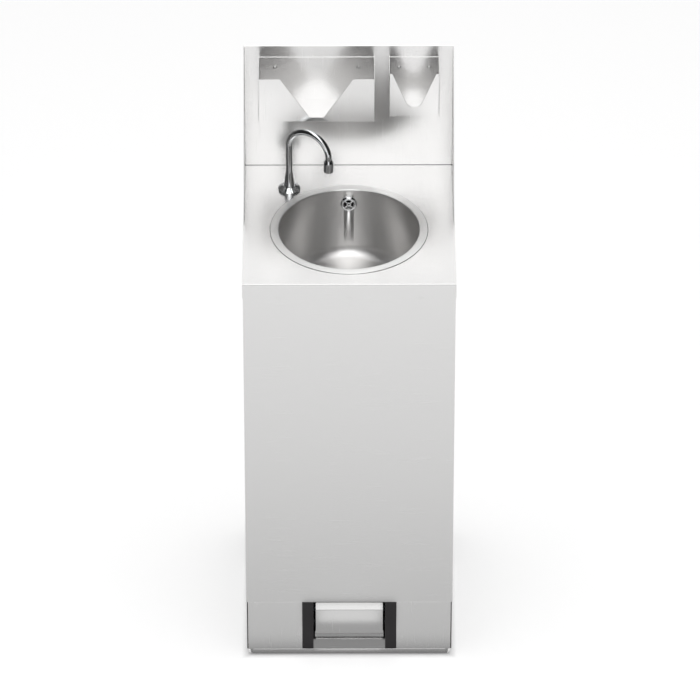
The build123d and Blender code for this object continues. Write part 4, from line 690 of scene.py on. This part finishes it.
spun_stainless, tree, shader = new_finish("spun_stainless", "#e3e2e1", 0.34, 1.0)
shader.inputs["Anisotropic"].default_value = 0.5
shader.inputs["Anisotropic Rotation"].default_value = 0.25
around = add_node(tree, "ShaderNodeUVMap", uv_map="UVMap")
rings = add_node(tree, "ShaderNodeMapping", {"Scale": (2.0, 1 / SPIN_RING, 1.0)},
                 {"Vector": around.outputs["UV"]})
noise = add_node(tree, "ShaderNodeTexNoise", {"Scale": 1.0, "Detail": 3.0},
                 {"Vector": rings.outputs["Vector"]})
swing = add_node(tree, "ShaderNodeMapRange",
                 {"From Min": 0.3, "From Max": 0.7, "To Min": 0.33, "To Max": 0.37},
                 {"Value": noise.outputs["Fac"]})
tree.links.new(swing.outputs["Result"], shader.inputs["Roughness"])
ridge = add_node(tree, "ShaderNodeBump", {"Strength": 1.0, "Distance": 0.0000008},
                 {"Height": noise.outputs["Fac"]})
tree.links.new(ridge.outputs["Normal"], shader.inputs["Normal"])
# The flat rim is polished with the worktop, so it is as pale; the spun wall is a shade darker.
place = add_node(tree, "ShaderNodeTexCoord")
parts = add_node(tree, "ShaderNodeSeparateXYZ", None, {0: place.outputs["Object"]})
on_rim = add_node(tree, "ShaderNodeMapRange", {"From Min": bowl_top - 0.003, "From Max": bowl_top - 0.0006},
                  {"Value": parts.outputs["Z"]})
tint = add_node(tree, "ShaderNodeMix", {"A": linear("#eae9e8"), "B": linear("#f6f6f5")},
                {"Factor": on_rim.outputs["Result"]}, data_type="RGBA")
tree.links.new(tint.outputs["Result"], shader.inputs["Base Color"])
way = add_node(tree, "ShaderNodeTangent", direction_type="UV_MAP", uv_map="UVMap")
tree.links.new(way.outputs["Tangent"], shader.inputs["Tangent"])
stand_for(bowl, spun_stainless, "bowl")


# Strainer and overflow rosette: chromed brass fittings in the bowl's floor and rear wall.
# Bright nickel-chrome plating, nearly a mirror.

bright_chrome, tree, shader = new_finish("bright_chrome", "#e6e8e9", 0.1, 1.0)
grained(bright_chrome, (0.008,) * 3, 0.08, 0.13, 0.000002, ("#e2e4e6", "#eaebec"))
ROSETTE_R = 0.016
ROSETTE_OPEN_R = 0.010
ROSETTE_PROUD = 0.0032
BAR = 0.0026
rosette = turned("overflow_grid", [
    rounded([(ROSETTE_OPEN_R, -0.0005, 0), (ROSETTE_R, -0.0005, 0), (ROSETTE_R, 0.0009, 0.0003),
             (0.0135, ROSETTE_PROUD, 0.0012), (ROSETTE_OPEN_R, ROSETTE_PROUD - 0.0004, 0.0006)]),
    rounded([(0.0016, 0.0006, 0), (0.0045, 0.0006, 0.0002), (0.0045, ROSETTE_PROUD, 0.0007),
             (0.0016, ROSETTE_PROUD, 0.0005)]),
], rosette_place, wall_facing, 64)
shape = bmesh.new()
shape.from_mesh(rosette.data)
facing = wall_facing.to_track_quat("Z", "Y").to_matrix().to_4x4()
for turn in range(4):
    swung = Matrix.Rotation(math.radians(45 + 90 * turn), 4, "Z")
    across = Matrix.Translation((0.0073, 0, 0.0018)) @ Matrix.Diagonal((0.0068, BAR, 0.0018, 1))
    bar = bmesh.ops.create_cube(shape, size=1, matrix=Matrix.Translation(rosette_place) @ facing
                                @ swung @ across)
    edges = {edge for vert in bar["verts"] for edge in vert.link_edges}
    bmesh.ops.bevel(shape, geom=list(edges), offset=0.0005, segments=2, affect="EDGES")
bmesh.ops.recalc_face_normals(shape, faces=shape.faces)
smooth_by_angle(shape, math.radians(32))
shape.to_mesh(rosette.data)
shape.free()
stand_for(rosette, bright_chrome, "overflow_rosette")
dress("waste_strainer", bright_chrome)


# Splashback and end cheeks: a stainless sheet with a thin hemmed top and two triangular cheeks.
# Bent up from the worktop's rear edge and seam-welded to the cheeks.

eased("splash_sheet", "splashback", upright_stainless, SHEET_EASE)
eased("cheek_left", "splash_gusset_left", upright_stainless, SHEET_EASE)
eased("cheek_right", "splash_gusset_right", upright_stainless, SHEET_EASE)


# Sealed joints: a fine dark bead where the splashback and the cheeks meet the worktop, and under the
# bowl's rim. Cured polyurethane sealing compound, nearly black and softly glossy; the beads are also painted
# shade in the joints and under the rim's edge.

sealant_and_joint_shade, tree, shader = new_finish("polyurethane_sealant", "#262626", 0.4)
grained(sealant_and_joint_shade, (0.003,) * 3, 0.32, 0.5, 0.00003, ("#202020", "#2e2e2e"))
BEAD = 0.0013
splash_low, splash_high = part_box("splashback")
cheek_low, cheek_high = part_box("splash_gusset_left")
top_z = cheek_low.z
inner_x = cheek_high.x
corner_y = splash_low.y


def bead(shape, start, end, size):
    """A square dark bead from start to end, with eased corners."""
    middle = (Vector(start) + Vector(end)) / 2
    span = Vector(end) - Vector(start)
    size = [abs(length) + size for length in span]
    made = bmesh.ops.create_cube(shape, size=1, matrix=Matrix.Translation(middle)
                                 @ Matrix.Diagonal((*size, 1)))
    edges = {edge for vert in made["verts"] for edge in vert.link_edges}
    bmesh.ops.bevel(shape, geom=list(edges), offset=min(size) * 0.3, segments=2, affect="EDGES")


shape = bmesh.new()
bead(shape, (-inner_x, corner_y, top_z), (inner_x, corner_y, top_z), BEAD)
for side in (-1, 1):
    bead(shape, (side * inner_x, corner_y, top_z), (side * inner_x, corner_y, splash_high.z - 0.003), 0.0007)
    bead(shape, (side * inner_x, cheek_low.y + 0.01, top_z), (side * inner_x, corner_y, top_z), 0.0007)
    # The larger dark blob at each end of the splashback's joint is painted shade where the corners' relief holes
    # are.
    bead(shape, (side * inner_x, corner_y - 0.0015, top_z), (side * inner_x, corner_y - 0.0015, top_z), 0.0024)
smooth_by_angle(shape, math.radians(40))
mesh = bpy.data.meshes.new("sealant_beads")
shape.to_mesh(mesh)
shape.free()
beads = linked("sealant_beads", mesh)
beads.data.materials.append(sealant_and_joint_shade)
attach(beads, frame["nodes"]["splashback"]["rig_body"])
# The dark ring under the bowl's rim is partly seal and partly painted contact shadow between the rim's edge and
# the worktop.
rim_seal_and_shadow_ring = turned("bowl_rim_seal", [rounded([
    (flange_r - 0.001, bowl_top - BOWL_SHEET - 0.0001, 0), (flange_r - 0.001, bowl_top - 0.0004, 0),
    (flange_r + 0.0002, bowl_top - 0.0004, 0.0002), (flange_r + 0.0008, bowl_top - BOWL_SHEET - 0.0001, 0)])],
    bowl_centre, (0, 0, 1), 192)
rim_seal_and_shadow_ring.data.materials.append(sealant_and_joint_shade)
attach(rim_seal_and_shadow_ring, frame["nodes"]["bowl"]["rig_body"])


# Holders: open stainless trays screwed to the splashback, a wide one for paper towels and a narrow one.
# Laser-cut, folded and deburred, with screws through their backs.

eased("towel_tray", "towel_holder", upright_stainless, SHEET_EASE)
eased("soap_tray", "soap_holder", upright_stainless, SHEET_EASE)
dress("holder_screws", satin_stainless)
dress("sheet_nuts", zinc_plated_steel)


# Rear door: a folded stainless panel with vent slots, on two butt hinges, with a cam lock.
# The hinges and the lock are bought-in plated pieces.

eased("door_sheet", "rear_door", upright_stainless, SHEET_EASE)
eased("frame_leaves", "hinge_frame_leaves", zinc_plated_steel, 0.0003)
eased("door_leaves", "hinge_door_leaves", zinc_plated_steel, 0.0003)
dress("hinge_pins", zinc_plated_steel)
dress("lock_housing", bright_chrome)
dress("lock_cam", zinc_plated_steel)


# Rear handle: a bent stainless tube on two flanges, screwed to the rail under the splashback.
# Polished tube, smoother than the sheet.

polished_tube, tree, shader = new_finish("polished_tube", "#dddcda", 0.15, 1.0)
grained(polished_tube, (0.02, 0.0012, 0.0012), 0.12, 0.2, 0.000004, ("#d5d4d2", "#e1e0de"))
dress("rear_handle", polished_tube)
dress("handle_screws", satin_stainless)


# Tap: a swan neck that turns in a cone-shaped rosette, with a straight aerator on its end.
# Chromed brass; the pipe is bent from 12 mm tube.

dress("tap_base", bright_chrome)
dress("tap_backnut", zinc_plated_steel)
dress("tap_spout", bright_chrome)
dress("tap_aerator", bright_chrome)


# Studio: a pale seamless floor, a white surround, an overhead softbox and a front fill.
# The camera stands where the photograph was taken from.

def is_seen(tree):
    """1 for the rays that show the backdrop: camera, glossy and transmission."""
    path = add_node(tree, "ShaderNodeLightPath")
    first = add_node(tree, "ShaderNodeMath", None, {0: path.outputs["Is Camera Ray"],
                                                    1: path.outputs["Is Glossy Ray"]},
                     operation="MAXIMUM")
    return add_node(tree, "ShaderNodeMath", None, {0: first.outputs[0],
                                                   1: path.outputs["Is Transmission Ray"]},
                    operation="MAXIMUM").outputs[0]


world = bpy.data.worlds.new("white_studio")
bpy.context.scene.world = world
world.use_nodes = True
tree = world.node_tree
backdrop = tree.nodes["Background"]
level = add_node(tree, "ShaderNodeMapRange", {"To Min": 0.3, "To Max": 1.0},
                 {"Value": is_seen(tree)})
backdrop.inputs["Color"].default_value = (1, 1, 1, 1)
tree.links.new(level.outputs["Result"], backdrop.inputs["Strength"])

shape = bmesh.new()
bmesh.ops.create_circle(shape, cap_ends=True, segments=96, radius=30)
mesh = bpy.data.meshes.new("studio_floor")
shape.to_mesh(mesh)
shape.free()
floor = linked("studio_floor", mesh)
studio_paper, tree, shader = new_finish("matt_white_paper", "#eeeeee", 0.95)
out = tree.nodes["Material Output"]
# The paper glows for the rays that see it, but not under the station, which stands in its own shade.
place = add_node(tree, "ShaderNodeTexCoord")
parts = add_node(tree, "ShaderNodeSeparateXYZ", None, {0: place.outputs["Object"]})
from_middle = add_node(tree, "ShaderNodeMath", None, {0: parts.outputs["X"]}, operation="ABSOLUTE")
beside = add_node(tree, "ShaderNodeMapRange", {"From Min": 0.192, "From Max": 0.21},
                  {"Value": from_middle.outputs[0]})
before = add_node(tree, "ShaderNodeMapRange", {"From Min": -0.226, "From Max": -0.242},
                  {"Value": parts.outputs["Y"]})
behind = add_node(tree, "ShaderNodeMapRange", {"From Min": 0.17, "From Max": 0.2},
                  {"Value": parts.outputs["Y"]})
either = add_node(tree, "ShaderNodeMath", None, {0: before.outputs["Result"],
                                                 1: behind.outputs["Result"]}, operation="MAXIMUM")
outside = add_node(tree, "ShaderNodeMath", None, {0: either.outputs[0],
                                                  1: beside.outputs["Result"]}, operation="MAXIMUM")
strength = add_node(tree, "ShaderNodeMapRange", {"To Min": 0.14, "To Max": 0.6},
                    {"Value": outside.outputs[0]})
glow = add_node(tree, "ShaderNodeEmission", {"Color": (1, 1, 1, 1)}, {"Strength": strength.outputs[0]})
dark = add_node(tree, "ShaderNodeEmission", {"Strength": 0.0})
chosen = add_node(tree, "ShaderNodeMixShader", None,
                  {"Fac": is_seen(tree), 1: dark.outputs[0], 2: glow.outputs[0]})
both = add_node(tree, "ShaderNodeAddShader", None,
                {0: shader.outputs["BSDF"], 1: chosen.outputs[0]})
tree.links.new(both.outputs[0], out.inputs["Surface"])
floor.data.materials.append(studio_paper)


def area_light(name, place, target, size, watts):
    """A soft rectangular light aimed at a point."""
    data = bpy.data.lights.new(name, "AREA")
    data.shape = "RECTANGLE"
    data.size, data.size_y = size
    data.energy = watts
    light = bpy.data.objects.new(name, data)
    light.location = place
    light.rotation_euler = (Vector(target) - Vector(place)).to_track_quat("-Z", "Y").to_euler()
    bpy.context.scene.collection.objects.link(light)
    return light


area_light("overhead_softbox", (0, -0.4, 3.4), (0, 0, 0.9), (3.4, 3.4), 33)
area_light("front_softbox", (0.2, -3.6, 4.2), (0, 0, 0.9), (1.7, 1.6), 7)


def studio_card(name, corners, finish):
    """A flat studio card that only reflections see."""
    mesh = bpy.data.meshes.new(name)
    mesh.from_pydata(corners, [], [range(len(corners))])
    card = linked(name, mesh)
    card.data.materials.append(finish)
    card.visible_camera = False
    card.visible_diffuse = False
    card.visible_transmission = False
    card.visible_shadow = False


black_flag_cloth, tree, shader = new_finish("black_flag_cloth", "#202020", 0.9)
for side, name in ((-1, "left"), (1, "right")):
    studio_card("black_flag_" + name,
                [(side * 1.6, -1.6, 0.3), (side * 1.6, 1.5, 0.3), (side * 1.6, 1.5, 3.2),
                 (side * 1.6, -1.6, 3.2)], black_flag_cloth)
    studio_card("black_wing_" + name,
                [(side * 1.6, -1.6, 0.3), (side * 0.85, -2.6, 0.3), (side * 0.85, -2.6, 4.2),
                 (side * 1.6, -1.6, 4.2)], black_flag_cloth)
    studio_card("black_roof_" + name,
                [(side * 1.6, -2.0, 3.2), (side * 1.6, 1.5, 3.2), (side * 0.7, 1.5, 3.35),
                 (side * 0.7, -2.0, 3.35)], black_flag_cloth)

# Glowing grey card on the floor in front, seen only in reflections and darker towards the station: a painted
# floor shadow that grades the front panel.
graded_card, tree, shader = new_finish("graded_grey_card", "#808080", 0.9)
place = add_node(tree, "ShaderNodeTexCoord")
parts = add_node(tree, "ShaderNodeSeparateXYZ", None, {0: place.outputs["Object"]})
fade = add_node(tree, "ShaderNodeValToRGB", None, {"Fac": add_node(
    tree, "ShaderNodeMapRange", {"From Min": -0.2325, "From Max": -2.24}, {"Value": parts.outputs["Y"]}
).outputs["Result"]})
ramp = fade.color_ramp
for spot, grey in ((0.0, 0.15), (0.01, 0.36), (0.03, 0.54), (0.09, 0.57), (0.14, 0.6), (0.35, 0.73), (0.6, 0.81),
                   (1.0, 0.95)):
    stop = ramp.elements.new(spot)
    stop.color = (grey, grey, grey, 1)
ramp.elements.remove(ramp.elements[0])
ramp.elements.remove(ramp.elements[-1])
shine = add_node(tree, "ShaderNodeEmission", {"Strength": 1.0}, {"Color": fade.outputs["Color"]})
tree.links.new(shine.outputs[0], tree.nodes["Material Output"].inputs["Surface"])
# Glowing cards that only reflections see, in front of and under the pedal: the grey ones are painted shade in
# the pedal's and the tray's reflections, the pale ones painted light in the pedal's and the apron's.
grey_flag_cloth, tree, shader = new_finish("grey_flag_cloth", "#606060", 0.9)
shine = add_node(tree, "ShaderNodeEmission", {"Color": (1, 1, 1, 1), "Strength": 0.27})
tree.links.new(shine.outputs[0], tree.nodes["Material Output"].inputs["Surface"])
studio_card("pedal_shade", [(-0.09, -0.275, 0.036), (0.09, -0.275, 0.036), (0.09, -0.275, 0.1),
                            (-0.09, -0.275, 0.1)], grey_flag_cloth)
pale_card, tree, shader = new_finish("pale_card", "#f0f0f0", 0.9)
shine = add_node(tree, "ShaderNodeEmission", {"Color": (1, 1, 1, 1), "Strength": 0.74})
tree.links.new(shine.outputs[0], tree.nodes["Material Output"].inputs["Surface"])
studio_card("pedal_bounce", [(-0.06, -0.36, 0.002), (0.06, -0.36, 0.002), (0.06, -0.246, 0.002),
                            (-0.06, -0.246, 0.002)], pale_card)
pale_grey_card, tree, shader = new_finish("pale_grey_card", "#a0a0a0", 0.9)
shine = add_node(tree, "ShaderNodeEmission", {"Color": (1, 1, 1, 1), "Strength": 0.36})
tree.links.new(shine.outputs[0], tree.nodes["Material Output"].inputs["Surface"])
studio_card("apron_bounce", [(-0.09, -0.229, 0.0215), (0.09, -0.229, 0.0215), (0.09, -0.193, 0.0215),
                            (-0.09, -0.193, 0.0215)], pale_grey_card)
studio_card("tray_shade", [(-0.09, -0.229, 0.021), (0.09, -0.229, 0.021), (0.09, -0.193, 0.021),
                          (-0.09, -0.193, 0.021)], grey_flag_cloth)
studio_card("graded_floor_card", [(-1.6, -2.24, 0.001), (1.6, -2.24, 0.001), (1.6, -0.2325, 0.001),
                                  (-1.6, -0.2325, 0.001)], graded_card)

camera_data = bpy.data.cameras.new("photo_camera")
camera_data.lens = 330
camera_data.sensor_width = 36
camera_data.clip_end = 100
camera = bpy.data.objects.new("photo_camera", camera_data)
camera.location = (-0.0293, -10.1073, 7.7359)
camera.rotation_euler = (math.pi / 2 - 0.617, 0, -0.0031)
bpy.context.scene.collection.objects.link(camera)
bpy.context.scene.camera = camera
bpy.context.scene.view_settings.view_transform = "Standard"


bpy.context.view_layer.update()
